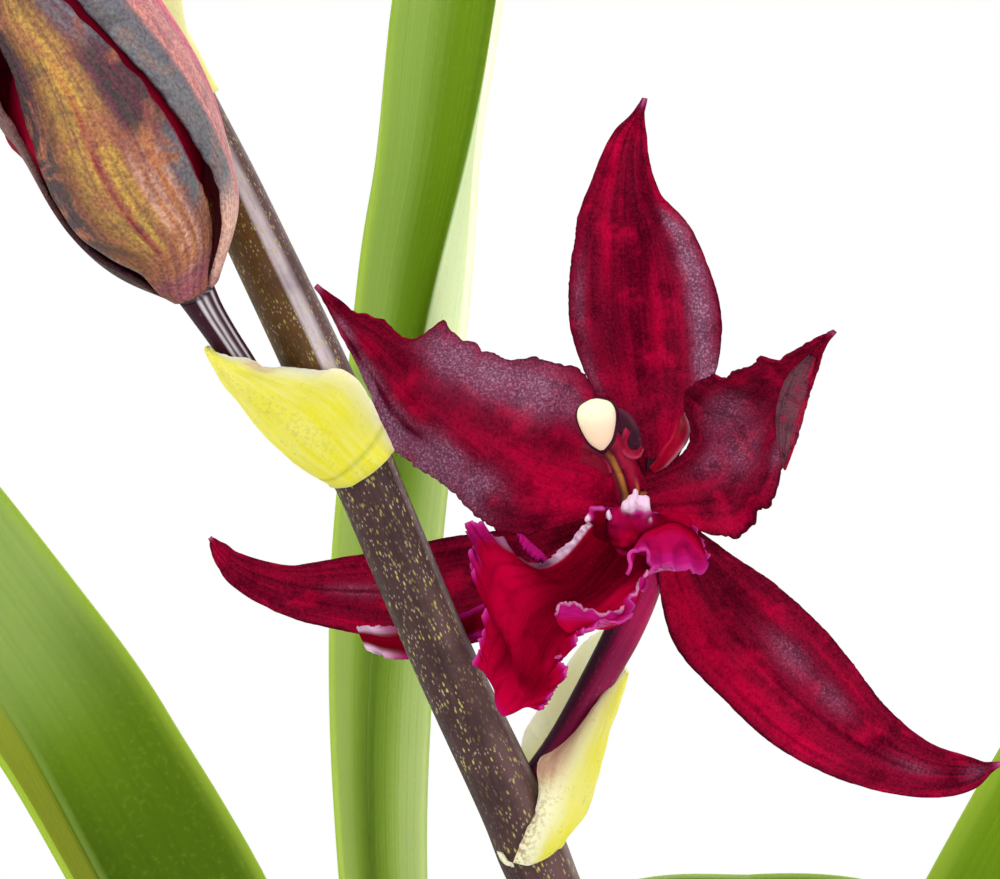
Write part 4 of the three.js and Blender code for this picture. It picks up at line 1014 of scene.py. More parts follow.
def bud_bract_colour(t, v):
    body = toned(BRACT_CREAM, BRACT_LEMON, soft(v, 0.02, 0.2))
    body = toned(body, BRACT_YELLOW, 0.8 * soft(t, 0.6, 0.3) * soft(abs(v - 0.3), 0.34, 0.14))
    body = toned(body, BRACT_LIME, 0.75 * soft(abs(t - 0.085), 0.016, 0.004) + 0.3 * soft(t, 0.04, 0.0))
    body = toned(body, BRACT_ROSY, 0.7 * soft(v, 0.2, 0.05) * soft(abs(t - 0.72), 0.12, 0.04))
    return (*body, 0.16 * soft(abs(v - 0.3 - 0.2 * t), 0.12, 0.04) * soft(t, 0.1, 0.3))


def plain_bract_colour(t, v):
    body = toned(BRACT_LEMON, BRACT_PALE, 0.3 + 0.4 * soft(t, 0.1, 0.5))
    return (*toned(body, BRACT_TAN, 0.6 * soft(t, 0.93, 1)), 0.0)


def sheath_colour(t, v):
    return (*toned(BRACT_TAN, BRACT_CREAM, 0.6 * soft(t, 0.9, 0.2)), 0.4)


def node_place(station, sign):
    """A node's place function, the way along the spike there, the way out, and the unit of its places, a
    little over the spike's radius."""
    t = station / LAST_STATION
    point, side, face = standing(spike_at, t, VIEWER)
    along = direction(spike_at, t)
    out = side * sign
    away = along.cross(out).normalized()
    unit = spike_at(t)[3] + CLEARANCE

    def place(p):
        return point + out * (p.x * unit) + away * (p.y * unit) + along * (p.z * unit)

    return place, along, out, unit


paper_fresh = paper("bract_fresh", 0.25)
paper_dry = paper("bract_dry", 1.0)
flower_bract_rows = hug(lines_rows(FLOWER_BRACT, 96, 54, papery)[:-3], 6)
bud_bract_rows = hug(lines_rows(BUD_BRACT, 96, 54, papery)[:-3], 8)
flower_bract = skin("flower_bract_grown", flower_bract_rows, colour=flower_bract_colour)
bract_hem = skin("flower_bract_hem", lines_rows(BRACT_HEM, 30, 6),
                 colour=lambda t, v: (*BRACT_CREAM, 0.5 * v))
bud_bract = skin("bud_bract_grown", bud_bract_rows, colour=bud_bract_colour)
scales = [(flower_bract, "flower_bract", paper_fresh), (bract_hem, "flower_bract", paper_fresh),
          (bud_bract, "bud_bract", paper_fresh)]
for node in UPPER_NODES:
    place = node_place(node["station"], node["sign"])[0]
    name = node["name"] + "_bract"
    made = skin(name + "_grown", trough(PLAIN_BRACT, place), colour=plain_bract_colour)
    scales.append((made, name, paper_fresh))
for node in LOWER_NODES:
    place = node_place(node["station"], node["sign"])[0]
    name = node["name"] + "_sheath"
    made = skin(name + "_grown", trough(LOW_SHEATH, place), colour=sheath_colour)
    scales.append((made, name, paper_dry))
for made, name, material in scales:
    thicken(made, BRACT_BLADE)
    stand_for(made, name, "bract", material)

# Closed buds: spindles of three sepals pressed edge to edge, each on a thin stalk in the axil of its bract.
# They are firm and waxy, green-bronze flushed with purple, and one sits on the spike's very end.
BUD_BRONZE = (0.28, 0.16, 0.05)
BUD_GREEN = (0.26, 0.3, 0.07)
BUD_PURPLE = (0.11, 0.035, 0.06)
BUD_SPECK = (0.35, 0.3, 0.1)
STALK_PURPLE = (0.04, 0.006, 0.02)
bud_shape = track([[0.3], [0.72], [0.95], [1], [0.88], [0.62], [0.36], [0.08]])


def waxy_bud():
    material, tree, shader = finish("closed_bud", Roughness=0.38, Specular_IOR_Level=0.45)
    place = where(tree)
    tint = painted(tree)
    blotch = grain(tree, place, 260.0, 5.0)
    fine = grain(tree, place, 1800.0, 3.0)
    body = stain(tree, tint, BUD_PURPLE, blotch, 0.45, 0.65, 0.7)
    cover(tree, shader, stain(tree, body, BUD_SPECK, fine, 0.55, 0.7, 0.5))
    emboss(tree, shader, 0.12, blotch, fine, 0.3)
    return material


def stalk_skin():
    material, tree, shader = finish("stalk_skin", Roughness=0.4, Specular_IOR_Level=0.06)
    place = where(tree)
    tint = painted(tree)
    streaks = drawn_out(tree, (18.0, 5.0), 5.0)
    fine = grain(tree, place, 2400.0, 2.0)
    body = stain(tree, tint, STALK_PURPLE, streaks, 0.45, 0.7, 0.4)
    cover(tree, shader, stain(tree, body, STEM_LILAC, fine, 0.62, 0.78, 0.1))
    emboss(tree, shader, 0.12, streaks, fine, 0.2)
    return material


def ridged(t, a):
    return bud_shape(t)[0] * (1 + 0.07 * math.cos(3 * a) - 0.02 * soft(abs(math.sin(1.5 * a)), 0.97, 1))


def bud_colour(t, v):
    body = toned(BUD_GREEN, BUD_BRONZE, soft(t, 0.2, 0.8))
    return toned(body, BUD_PURPLE, 0.7 * soft(abs(math.sin(3 * math.pi * v)), 0.85, 1))


def stalk_colour(t, v):
    return toned(STEM_BROWN, STALK_PURPLE, soft(t, 0, 0.6))


def closed_bud(name, foot, aim, length):
    stations = [(*(foot + aim * (s * length)), 0.19 * length) for s in (0, 0.35, 0.7, 1)]
    made = skin(name + "_grown", rod(stations, 48, 48, section=ridged), solid=True, colour=bud_colour)
    stand_for(made, name, "bud", bud_wax)


bud_wax = waxy_bud()
stalk_bark = stalk_skin()
for node in UPPER_NODES:
    place, along, out, unit = node_place(node["station"], node["sign"])
    aim = (along + out * 0.45).normalized()
    bends = [place(Vector((x, 0, z))) for x, z in ((0.45, 2), (1, 3.4), (1.5, 4.9))]
    bends += [bends[2] + aim * (0.5 * node["stalk"]), bends[2] + aim * node["stalk"]]
    stalk_rows = rod([(*p, 0.31 * unit) for p in bends], 40, 24)
    made = skin(node["name"] + "_stalk_grown", stalk_rows, solid=True, colour=stalk_colour)
    stand_for(made, node["name"] + "_stalk", "stalk", stalk_bark)
    closed_bud(node["name"] + "_bud", bends[4] + aim * CLEARANCE, aim, node["bud"])
tip_way = direction(spike_at, 1)
closed_bud("tip_bud", Vector(SPIKE[-1][:3]) + tip_way * CLEARANCE, tip_way, 11)

# Opening bud: three fleshy sepals round the folded red petals, on a bent purple stalk. The sepals still hold
# together at the tip. They are gold and bronze with purple freckles, and grey along their rims.
BUD_STALK = [
    (-23.2, -61.2, 345.8, 1.3),
    (-26.0, -62.8, 347.5, 1.35),
    (-28.5, -64.5, 350.1, 1.4),
    (-30.3, -66, 352.8, 1.45),
    (-31.7, -67.3, 355, 1.5),
    (-33, -68.5, 357.1, 1.65),
    (-34, -69.5, 358.9, 1.9),
]
BUD_AXIS = [
    (-34.3, -69.9, 359.4),
    (-39.1, -73.9, 368),
    (-41.7, -76.2, 377.6),
    (-46, -77.4, 387.2),
    (-51.5, -77.8, 396.5),
]
# Sepals of the bud: [radius, angle of the left margin, of the midrib and of the right margin], from the foot
# to the tip. Zero faces the viewer and a positive angle turns to the right.
BUD_SEPALS = {
    "bud_sepal_near": [
        (2.25, -63, -42, 26),
        (5.7, -33, -8, 52),
        (7.6, -58, -9, 50),
        (8.6, -64, -15, 40),
        (9.0, -64, -19, 24),
        (8.7, -58, -24, 10),
        (7.9, -64, -34, -4),
        (5.5, -60, -42, -15),
        (1.3, -55, -40, -20),
    ],
    "bud_sepal_right": [
        (2.6, 36, 95, 150),
        (7.8, 46, 103, 156),
        (9.2, 56, 107, 158),
        (9.2, 49, 104, 160),
        (8.4, 32, 96, 160),
        (7.5, 17, 88, 160),
        (6.6, 4, 80, 158),
        (4.6, -6, 70, 150),
        (1.2, 5, 70, 130),
    ],
    "bud_sepal_left": [
        (2.1, -170, -120, -70),
        (5.4, -172, -110, -50),
        (7.5, -174, -128, -84),
        (9.1, -174, -122, -71),
        (10.5, -172, -118, -64),
        (11, -172, -118, -65),
        (9.1, -172, -120, -68),
        (6, -172, -120, -70),
        (1.5, -180, -138, -95),
    ],
}
SEPAL_GOLD = (0.45, 0.27, 0.06)
SEPAL_TAN = (0.34, 0.13, 0.065)
SEPAL_BRONZE = (0.2, 0.09, 0.035)
SEPAL_SLATE = (0.135, 0.135, 0.155)
SEPAL_DARK = (0.055, 0.04, 0.042)
SEPAL_SALMON = (0.54, 0.21, 0.21)
SEPAL_ROSE = (0.56, 0.09, 0.17)
SEPAL_CREAM = (0.66, 0.4, 0.34)
SEPAL_PURPLE = (0.16, 0.03, 0.06)
SEPAL_RED = (0.22, 0.008, 0.03)
SEPAL_PLUM = (0.3, 0.08, 0.13)
SEPAL_PAINTED_SHADOW = (0.035, 0.012, 0.018)
SEPAL_MAUVE = (0.15, 0.07, 0.07)
FLESH_LIGHT = (1.35, 1.3, 1.1)
GRAIN_DARK = (0.5, 0.4, 0.4)
GRAIN_LIGHT = (1.5, 1.5, 1.2)
SEPAL_BLADE = 0.55
STALK_PAINTED_HIGHLIGHT = (0.8, 0.74, 0.78)
HIGHLIGHT_STRIPES = ((0.55, 0.8), (0.49, 1), (0.41, 0.7))
LINING_DARK = (0.05, 0.0, 0.006)
LINING_RED = (0.3, 0.002, 0.02)
PETAL_FOOT_GOLD = (0.5, 0.24, 0.04)
PETAL_FOOT_BLADE = 0.3
PETAL_FOOT_LENGTH = 0.17
PETAL_FOOT_TURN = 44
bud_axis = track(BUD_AXIS)


def bud_point(t, angle, radius):
    point, side, face = standing(bud_axis, t, VIEWER)
    return point + side * (radius * math.sin(angle)) + face * (radius * math.cos(angle))


def near_sepal_colour(t, v):
    w = 2 * v - 1
    body = toned(SEPAL_BRONZE, SEPAL_GOLD, soft(abs(w - 0.05), 0.6, 0.1) * soft(t, 0.95, 0.6))
    body = toned(body, SEPAL_TAN, 0.9 * soft(w, 0.2, 0.35) * soft(t, 0.55, 0.4))
    body = toned(body, SEPAL_GOLD, 0.8 * soft(w, 0.3, 0.5) * soft(t, 0.16, 0.08))
    for line in (0.28, 0.42, 0.6):
        streak = 0.55 * soft(abs(w - line - 0.25 * t), 0.07, 0.01)
        body = toned(body, SEPAL_CREAM, streak * soft(t, 0.5, 0.3))
    body = toned(body, SEPAL_SLATE, soft(w, 0.62, 0.8) * soft(t, 0.13, 0.24))
    body = toned(body, SEPAL_DARK, soft(w, 0.3, 0.5) * soft(abs(t - 0.52), 0.14, 0.06))
    body = toned(body, SEPAL_SLATE, 0.8 * soft(abs(w - 0.7), 0.3, 0.1) * soft(t, 0.6, 0.68))
    body = toned(body, SEPAL_DARK, soft(w, -0.45, -0.72) * soft(t, 0.16, 0.26))
    body = toned(body, SEPAL_SLATE, 0.9 * soft(w, -0.86, -0.97) * soft(t, 0.3, 0.15))
    body = toned(body, SEPAL_RED, soft(abs(w), 0.06, 0.01) * soft(t, 0.72, 0.4))
    body = toned(body, SEPAL_RED, soft(w, 0.96, 1.0) * soft(t, 0.6, 0.4))
    return (*toned(body, SEPAL_PLUM, 0.9 * soft(t, 0.15, 0.05)), 1.0)


def right_sepal_colour(t, v):
    inner = toned(SEPAL_CREAM, SEPAL_SLATE, soft(t, 0.14, 0.26))
    body = toned(inner, SEPAL_SALMON, soft(v, 0.11 + 0.1 * t, 0.17 + 0.1 * t) * soft(t, 0.1, 0.2))
    body = toned(body, SEPAL_ROSE, soft(v, 0.36, 0.44))
    body = toned(body, SEPAL_CREAM, soft(abs(v - 0.33), 0.05, 0.02) * soft(abs(t - 0.22), 0.2, 0.1))
    body = toned(body, SEPAL_PURPLE, 0.8 * soft(v, 0.6, 0.8))
    return (*toned(body, SEPAL_PLUM, 0.7 * soft(t, 0.04, 0.0)), 0.25)


# The left sepal lies behind the others and is painted near black towards its foot as painted shadow, mauve
# above.
def left_sepal_colour(t, v):
    body = toned(SEPAL_PAINTED_SHADOW, SEPAL_MAUVE, soft(t, 0.26, 0.36))
    return (*body, 0.1)


# The bud's stalk is dark purple with three lilac stripes along it that are painted highlights.
def bud_stalk_colour(t, v):
    body = toned(STEM_BROWN, STALK_PURPLE, 0.5)
    stripes = sum(share * soft(abs(v - line), 0.02, 0.004) for line, share in HIGHLIGHT_STRIPES)
    return toned(body, STALK_PAINTED_HIGHLIGHT, min(stripes, 1) * soft(t, 0.3, 0.5))


def fleshy():
    material, tree, shader = finish("bud_sepal_flesh", Roughness=0.45, Specular_IOR_Level=0.12)
    place = where(tree)
    tint = painted(tree)
    lively = painted(tree, 1)
    freckles = grain(tree, place, 1500.0, 4.0, Roughness=0.6)
    blotch = grain(tree, place, 230.0, 5.0, Roughness=0.6, Distortion=0.8)
    grains = grain(tree, place, 2900.0, 2.0)
    streaks = drawn_out(tree, (14.0, 2.5), 4.0, Distortion=0.8)
    tan = sums(tree, "MULTIPLY", grade(tree, blotch, 0.5, 0.6, 0.0, 0.85), lively)
    purple = sums(tree, "MULTIPLY", grade(tree, streaks, 0.5, 0.66, 0.0, 0.5), lively)
    body = blend(tree, tan, tint, SEPAL_TAN)
    body = blend(tree, purple, body, SEPAL_PURPLE)
    body = stain(tree, body, SEPAL_DARK, blotch, 0.46, 0.34, 0.5)
    body = stain(tree, body, FLESH_LIGHT, streaks, 0.48, 0.36, 0.6, "MULTIPLY")
    speckle = sums(tree, "MULTIPLY", grade(tree, freckles, 0.52, 0.64, 0.0, 0.4), lively)
    body = blend(tree, speckle, body, SEPAL_PURPLE)
    body = stain(tree, body, GRAIN_DARK, grains, 0.5, 0.38, 0.5, "MULTIPLY")
    body = stain(tree, body, GRAIN_LIGHT, grains, 0.55, 0.7, 0.6, "MULTIPLY")
    cover(tree, shader, body)
    relief = sums(tree, "ADD", sums(tree, "MULTIPLY", streaks, 1.6), freckles)
    emboss(tree, shader, 0.35, relief, grains, 0.4)
    return material


def petal_lining():
    material, tree, shader = finish("petal_lining", Roughness=0.5, Specular_IOR_Level=0.02)
    place = where(tree)
    cloud = grain(tree, place, 300.0, 4.0)
    fine = grain(tree, place, 3000.0, 2.0)
    body = blend(tree, cloud, LINING_DARK, LINING_RED)
    cover(tree, shader, stain(tree, body, SEPAL_RED, fine, 0.6, 0.8, 0.3))
    emboss(tree, shader, 0.05, fine)
    return material


bud_flesh = fleshy()
lining = petal_lining()
bud_stalk = skin("bud_stalk_grown", rod(BUD_STALK, 60, 36), solid=True, colour=bud_stalk_colour)
stand_for(bud_stalk, "bud_stalk", "stalk", stalk_bark)
sepal_colours = {"bud_sepal_near": near_sepal_colour, "bud_sepal_right": right_sepal_colour,
                 "bud_sepal_left": left_sepal_colour}
sepal_shapes = {name: track(stations) for name, stations in BUD_SEPALS.items()}
for name, shape in sepal_shapes.items():
    rows = []
    for t in steps(96):
        radius, left, middle, right = shape(t)
        row = []
        for w in margins(56):
            turn = middle + (middle - left if w < 0 else right - middle) * w
            keel = 0.3 * math.exp(-((w / 0.08) ** 2)) * math.sin(math.pi * t)
            nibbled = 2.5 * w ** 6 * uneven(26 * t, math.copysign(2, w), 3)
            row.append(bud_point(t, math.radians(turn + nibbled), radius + keel))
        rows.append(row)
    made = skin(name + "_grown", rows, colour=sepal_colours[name])
    thicken(made, SEPAL_BLADE)
    stand_for(made, name, "bud", bud_flesh, lining)
petal_rows = []
for i in range(61):
    t = 0.05 + 0.85 * i / 60
    tightest = min(shape(t)[0] for shape in sepal_shapes.values()) - 0.9
    bulge = 3.2 * math.exp(-(((t - 0.5) / 0.14) ** 2))
    ring = []
    for a in around(72):
        towards = max(0, math.cos(a - math.radians(-90))) ** 6
        ring.append(bud_point(t, a, tightest + bulge * towards))
    petal_rows.append(ring)
bud_petals = skin("bud_petals_grown", petal_rows, solid=True)
stand_for(bud_petals, "bud_petals", "petal", lining)
foot_rows = []
for i in range(25):
    t = PETAL_FOOT_LENGTH * i / 24
    radius, left, middle, right = sepal_shapes["bud_sepal_near"](t)
    turns = [math.radians(right - 10 + PETAL_FOOT_TURN * j / 8) for j in range(9)]
    foot_rows.append([bud_point(t, turn, radius - 0.45) for turn in turns])
petal_foot = skin("bud_petal_foot", foot_rows,
                  colour=lambda t, v: (*toned(SEPAL_CREAM, PETAL_FOOT_GOLD, t), 0.3))
thicken(petal_foot, PETAL_FOOT_BLADE)
stand_for(petal_foot, "bud_petals", "petal", bud_flesh)

# Flower stalk: the pedicel and the ovary in one, a smooth purple rod that leaves the spike inside its bract.
# It thickens upwards, has shallow grooves, and bends forward behind the flower.
FLOWER_STALK = [
    (-4.6, -57.6, 307.6, 1.2),
    (-1.6, -56.4, 311.2, 1.35),
    (1.6, -54.8, 315.4, 1.5),
    (5.4, -52.3, 321.8, 1.7),
    (7.7, -50.2, 326, 1.85),
    (9.6, -47.8, 330.6, 1.9),
    (10.7, -45.9, 334.8, 1.75),
    (10.8, -45.6, 337.8, 1.5),
    (10.3, -47.6, 339, 1.5),
]
OVARY_MAGENTA = (0.4, 0.008, 0.085)


def grooved(t, a):
    return 1 + 0.035 * math.cos(6 * a) * soft(t, 0.3, 0.7)


def ovary_colour(t, v):
    right = soft(abs(v - 0.08), 0.3, 0.2)
    return toned(STALK_PURPLE, OVARY_MAGENTA, right * (0.5 + 0.5 * soft(t, 0.4, 0.55)))


stalk_rows = rod(FLOWER_STALK, 96, 48, (-1, -0.2, 0.3), grooved)
flower_stalk = skin("flower_stalk_grown", stalk_rows, solid=True, colour=ovary_colour)
stand_for(flower_stalk, "flower_stalk", "stalk", stalk_bark)

# Petals and sepals: two petals and three sepals, thin velvety blades that spread from the flower's centre.
# Each grows as one blade, crimson and maroon with a painted violet sheen, waved and nibbled at its rim.
TEPAL_BLADE = 0.36
CRIMSON = (0.15, 0.0006, 0.012)
SCARLET = (0.46, 0.001, 0.034)
MAROON = (0.06, 0.0004, 0.007)
PAINTED_SHEEN = (0.15, 0.03, 0.075)
PAINTED_PINK_HIGHLIGHT = (0.5, 0.25, 0.36)
GLINT = (0.46, 0.2, 0.32)
RED_GLINT = (0.55, 0.01, 0.08)
SHADE = (0.35, 0.25, 0.38)
PETAL_TIP = (0.6, 0.12, 0.3)
# A tepal's stations are [x, y, z, half width at the left and the right, lift at the left and the right] from
# the flower's centre. Its patches are [colour, share, place along, place across, reach along, reach across],
# and its rims give the reach of each margin at places along it.
TEPALS = [
    {
        "node": "dorsal_sepal",
        "wave": (0.25, 4, 1, 0),
        "rims": ([(0, 1), (0.62, 1), (0.68, 1.06), (0.76, 1.03), (0.9, 1.1), (0.97, 0.8), (1, 0.5)],
                 [(0, 1), (0.1, 1), (0.15, 0.9), (0.24, 1), (0.6, 1), (0.67, 0.97), (0.9, 0.8), (0.97, 0.5),
                  (1, 0.5)]),
        "patches": [
            (PAINTED_SHEEN, 0.9, 0.61, 0.75, 0.06, 0.18),
            (PAINTED_SHEEN, 1, 0.53, 0.75, 0.07, 0.17),
            (PAINTED_SHEEN, 1, 0.44, 0.73, 0.07, 0.16),
            (PAINTED_SHEEN, 0.9, 0.36, 0.75, 0.05, 0.14),
            (PAINTED_SHEEN, 1, 0.3, 0.86, 0.06, 0.16),
            (MAROON, 0.75, 0.72, 0.43, 0.11, 0.3),
            (MAROON, 0.6, 0.5, -0.1, 0.3, 0.5),
            (MAROON, 0.85, 0.54, 0, 0.1, 0.24),
            (MAROON, 0.7, 0.38, -0.11, 0.09, 0.31),
            (PAINTED_SHEEN, 0.35, 0.48, -0.86, 0.1, 0.1),
            (PAINTED_SHEEN, 0.3, 0.33, -0.9, 0.06, 0.11),
            (SCARLET, 0.75, 0.81, -0.57, 0.11, 0.22),
            (SCARLET, 0.6, 0.6, -0.5, 0.12, 0.1),
            (SCARLET, 0.6, 0.69, 0.85, 0.1, 0.14),
            (SCARLET, 0.5, 0.42, 0.16, 0.08, 0.1),
            (SCARLET, 0.9, 0.15, 0.4, 0.07, 0.35),
            (SCARLET, 0.5, 0.3, -0.43, 0.06, 0.2),
            (SCARLET, 0.6, 0.92, 0, 0.04, 0.6),
            # painted pink highlight on the right margin near the base
            (PAINTED_PINK_HIGHLIGHT, 0.8, 0.19, 0.9, 0.025, 0.12),
        ],
        "stations": [
            (0.6, 1.8, 1.8, 0.9, 0.8, 0, 0),
            (0.8, 2.3, 5.8, 3.4, 3.2, 0.4, 0.9),
            (0.4, 3.0, 10.8, 5.7, 6.2, -0.3, -0.3),
            (-0.1, 3.4, 17.9, 7.6, 7.6, -1.2, -1.5),
            (-0.7, 3.0, 24.9, 6.9, 5.9, -1.0, -1.2),
            (-1.5, 1.8, 30.0, 4.8, 3.1, -0.5, -0.5),
            (-1.6, 0.2, 34.8, 2.5, 2.0, 0, 0),
            (-0.4, -2.0, 39.8, 0.3, 0.3, 0, 0),
        ],
    },
    {
        "node": "left_petal",
        "wave": (0.5, 6.5, 0.6, 0.8),
        "torn": 0.03,
        "rims": ([(0, 1), (0.15, 1.05), (0.35, 1.03), (0.43, 0.97), (0.52, 1.03), (0.57, 1.1), (0.7, 1.05),
                  (0.85, 1), (0.95, 0.8), (1, 0.5)],
                 [(0, 1), (0.2, 1.06), (0.28, 1.13), (0.35, 1.06), (0.4, 1.05), (0.46, 0.88), (0.5, 0.92),
                  (0.53, 0.88), (0.56, 0.97), (0.585, 0.91), (0.615, 1), (0.64, 1.2), (0.655, 0.95),
                  (0.67, 0.72), (0.685, 0.5), (0.71, 0.45), (0.735, 0.58), (0.76, 0.86), (0.785, 1.1),
                  (0.81, 1), (0.835, 1.12), (0.86, 0.75), (0.89, 0.88), (0.93, 1), (1, 1)]),
        "patches": [
            (PAINTED_SHEEN, 0.9, 0.57, 0.52, 0.08, 0.46),
            (PAINTED_SHEEN, 0.9, 0.47, 0.56, 0.1, 0.42),
            (PAINTED_SHEEN, 0.8, 0.36, 0.55, 0.09, 0.38),
            (PAINTED_SHEEN, 0.5, 0.27, 0.6, 0.06, 0.24),
            (PAINTED_SHEEN, 0.7, 0.86, -0.64, 0.05, 0.3),
            (PAINTED_SHEEN, 0.85, 0.73, -0.88, 0.08, 0.3),
            (PAINTED_SHEEN, 0.9, 0.6, -0.86, 0.09, 0.26),
            (PAINTED_SHEEN, 1, 0.47, -0.82, 0.08, 0.3),
            (PAINTED_SHEEN, 0.8, 0.36, -0.78, 0.07, 0.24),
            (SCARLET, 1, 0.08, 0.1, 0.08, 0.9),
            # painted shade in the fold where the margin turns under
            (MAROON, 0.9, 0.82, -0.8, 0.07, 0.1),
            (MAROON, 0.95, 0.67, -0.72, 0.09, 0.06),
            (MAROON, 0.85, 0.56, -0.68, 0.06, 0.05),
            (SCARLET, 0.6, 0.77, -0.35, 0.06, 0.2),
            (SCARLET, 0.75, 0.6, -0.44, 0.08, 0.13),
            (SCARLET, 0.65, 0.43, -0.43, 0.07, 0.15),
            (SCARLET, 0.55, 0.31, -0.21, 0.06, 0.14),
            (SCARLET, 1, 0.14, -0.45, 0.1, 0.55),
            (SCARLET, 0.8, 0.23, -0.36, 0.06, 0.2),
            (MAROON, 0.7, 0.31, -0.8, 0.06, 0.14),
            (MAROON, 0.7, 0.21, -0.87, 0.04, 0.1),
            (MAROON, 0.6, 0.24, 0.14, 0.05, 0.22),
            (MAROON, 0.6, 0.67, -0.14, 0.05, 0.15),
        ],
        "stations": [
            (-1.0, 0.4, 0.3, 2.4, 1.6, 0.2, 0.2),
            (-4.8, -1.4, 2.8, 5.8, 3.8, 0.4, 0.4),
            (-9.6, -1.0, 5.2, 9.4, 6.9, -0.6, 0),
            (-14.0, 0.0, 7.6, 9.2, 6.8, -1.8, -0.5),
            (-18.5, 1.2, 10.3, 8.4, 5.6, -2.6, -0.8),
            (-22.8, 2.6, 13.4, 7.0, 4.4, -2.4, -0.8),
            (-26.6, 4.2, 15.9, 4.2, 2.0, -1.4, -0.4),
            (-30.2, 6.0, 18.4, 1.7, 0.8, -0.4, 0),
            (-33.5, 8.0, 21.4, 0.3, 0.3, 0, 0),
        ],
    },
    {
        "node": "right_petal",
        "wave": (0.5, 5.5, 2, 1.2),
        "torn": 0.035,
        "rims": ([(0, 1), (0.12, 0.85), (0.18, 0.74), (0.235, 0.7), (0.265, 0.92), (0.32, 0.97),
                  (0.42, 1.02), (0.5, 1.05), (0.56, 1.02), (0.6, 1.14), (0.64, 1.04), (0.665, 1.22),
                  (0.69, 1), (0.71, 0.78), (0.75, 0.86), (0.85, 0.85), (0.95, 0.7), (1, 0.5)],
                 [(0, 1), (0.1, 1), (0.14, 1.08), (0.17, 1.17), (0.21, 1.1), (0.25, 0.95), (0.3, 1.02),
                  (0.4, 0.95), (0.5, 1.05), (0.62, 0.92), (0.75, 0.98), (0.95, 0.7), (1, 0.5)]),
        "patches": [
            (MAROON, 0.6, 0.4, 0, 0.2, 0.8),
            (PAINTED_SHEEN, 0.45, 0.4, -0.39, 0.13, 0.34),
            (PAINTED_SHEEN, 0.45, 0.33, 0.14, 0.12, 0.36),
            (PAINTED_SHEEN, 0.35, 0.23, -0.07, 0.1, 0.3),
            (MAROON, 0.8, 0.54, -0.32, 0.06, 0.22),
            (MAROON, 0.85, 0.35, -0.84, 0.1, 0.12),
            (MAROON, 0.95, 0.23, 0.86, 0.06, 0.2),
            (MAROON, 0.85, 0.46, 0.45, 0.08, 0.12),
            (MAROON, 0.5, 0.2, 0.46, 0.05, 0.17),
            (SCARLET, 1, 0.07, 0.8, 0.05, 0.5),
            (SCARLET, 0.6, 0.73, -0.14, 0.06, 0.3),
            (SCARLET, 0.4, 0.56, -0.79, 0.05, 0.15),
            (PAINTED_SHEEN, 1, 0.58, 0.72, 0.1, 0.24),
            (PAINTED_SHEEN, 0.95, 0.47, 0.8, 0.08, 0.16),
        ],
        "stations": [
            (-0.5, 0.3, 0.7, 1.6, 3.4, 0.1, 0.2),
            (4.4, 0.4, 2.6, 2.6, 6.5, 0.4, 0.6),
            (7.8, 0.0, 4.8, 6.9, 7.0, 1.2, 1.0),
            (10.6, -2.2, 7.4, 6.9, 4.7, 1.4, 0.8),
            (12.8, -6.0, 10.2, 4.9, 3.2, 1.2, 0.6),
            (14.6, -10.5, 13.0, 2.4, 1.9, 0.6, 0.4),
            (16.2, -13.0, 15.0, 0.9, 0.9, 0.2, 0.2),
            (17.6, -15.0, 16.3, 0.3, 0.3, 0, 0),
        ],
    },
    {
        "node": "right_sepal",
        "wave": (0.25, 5, 0.3, 0),
        "crease": 0.7,
        "rims": ([(0, 1), (0.9, 1), (1, 0.5)], [(0, 1), (0.9, 1), (1, 0.5)]),
        "patches": [
            (SCARLET, 0.85, 0.18, 0.54, 0.07, 0.3),
            (SCARLET, 0.8, 0.28, 0.57, 0.07, 0.27),
            (SCARLET, 0.8, 0.39, 0.64, 0.07, 0.26),
            (SCARLET, 0.7, 0.52, 0.68, 0.07, 0.22),
            (SCARLET, 0.8, 0.11, 0.5, 0.04, 0.35),
            (MAROON, 0.6, 0.25, -0.39, 0.06, 0.25),
            (PAINTED_SHEEN, 0.4, 0.4, -0.36, 0.07, 0.22),
            (PAINTED_SHEEN, 0.35, 0.52, -0.36, 0.06, 0.22),
            (MAROON, 0.9, 0.9, 0, 0.08, 0.8),
            (PAINTED_SHEEN, 0.35, 0.92, 0, 0.05, 0.6),
            (MAROON, 0.7, 0.66, -0.21, 0.06, 0.29),
            (PAINTED_SHEEN, 0.3, 0.75, 0, 0.06, 0.27),
            (SCARLET, 0.5, 0.31, -0.62, 0.06, 0.12),
            (SCARLET, 0.5, 0.55, -0.7, 0.06, 0.1),
            # painted shade along the creased midrib
            (MAROON, 0.8, 0.35, 0.06, 0.16, 0.07),
            (MAROON, 0.8, 0.62, 0.04, 0.14, 0.08),
        ],
        "stations": [
            (1.6, 1.3, -1.7, 0.9, 0.8, 0, 0),
            (4.2, 1.2, -6.6, 3.5, 3.6, 0.7, 0.7),
            (7.4, 0.2, -11.6, 5.7, 5.6, 1.1, 1.0),
            (11.6, -1.8, -16.5, 6.6, 5.4, 1.2, 1.1),
            (16.2, -4.0, -20.9, 6.1, 5.1, 1.2, 1.1),
            (21.0, -6.0, -24.3, 4.5, 4.0, 1.0, 0.9),
            (26.0, -8.0, -26.5, 3.1, 2.8, 0.8, 0.8),
            (30.8, -9.5, -26.8, 1.7, 1.9, 0.6, 0.6),
            (34.2, -10.5, -25.9, 0.3, 0.3, 0, 0),
        ],
    },
    {
        "node": "left_sepal",
        "wave": (0.25, 5, 2.2, 0),
        "crease": 0.7,
        "rims": ([(0, 1), (0.9, 1), (1, 0.6)], [(0, 1), (0.9, 1), (1, 0.6)]),
        "patches": [
            (SCARLET, 0.5, 0.9, 0, 0.07, 0.7),
            (SCARLET, 0.35, 0.7, 0.5, 0.08, 0.25),
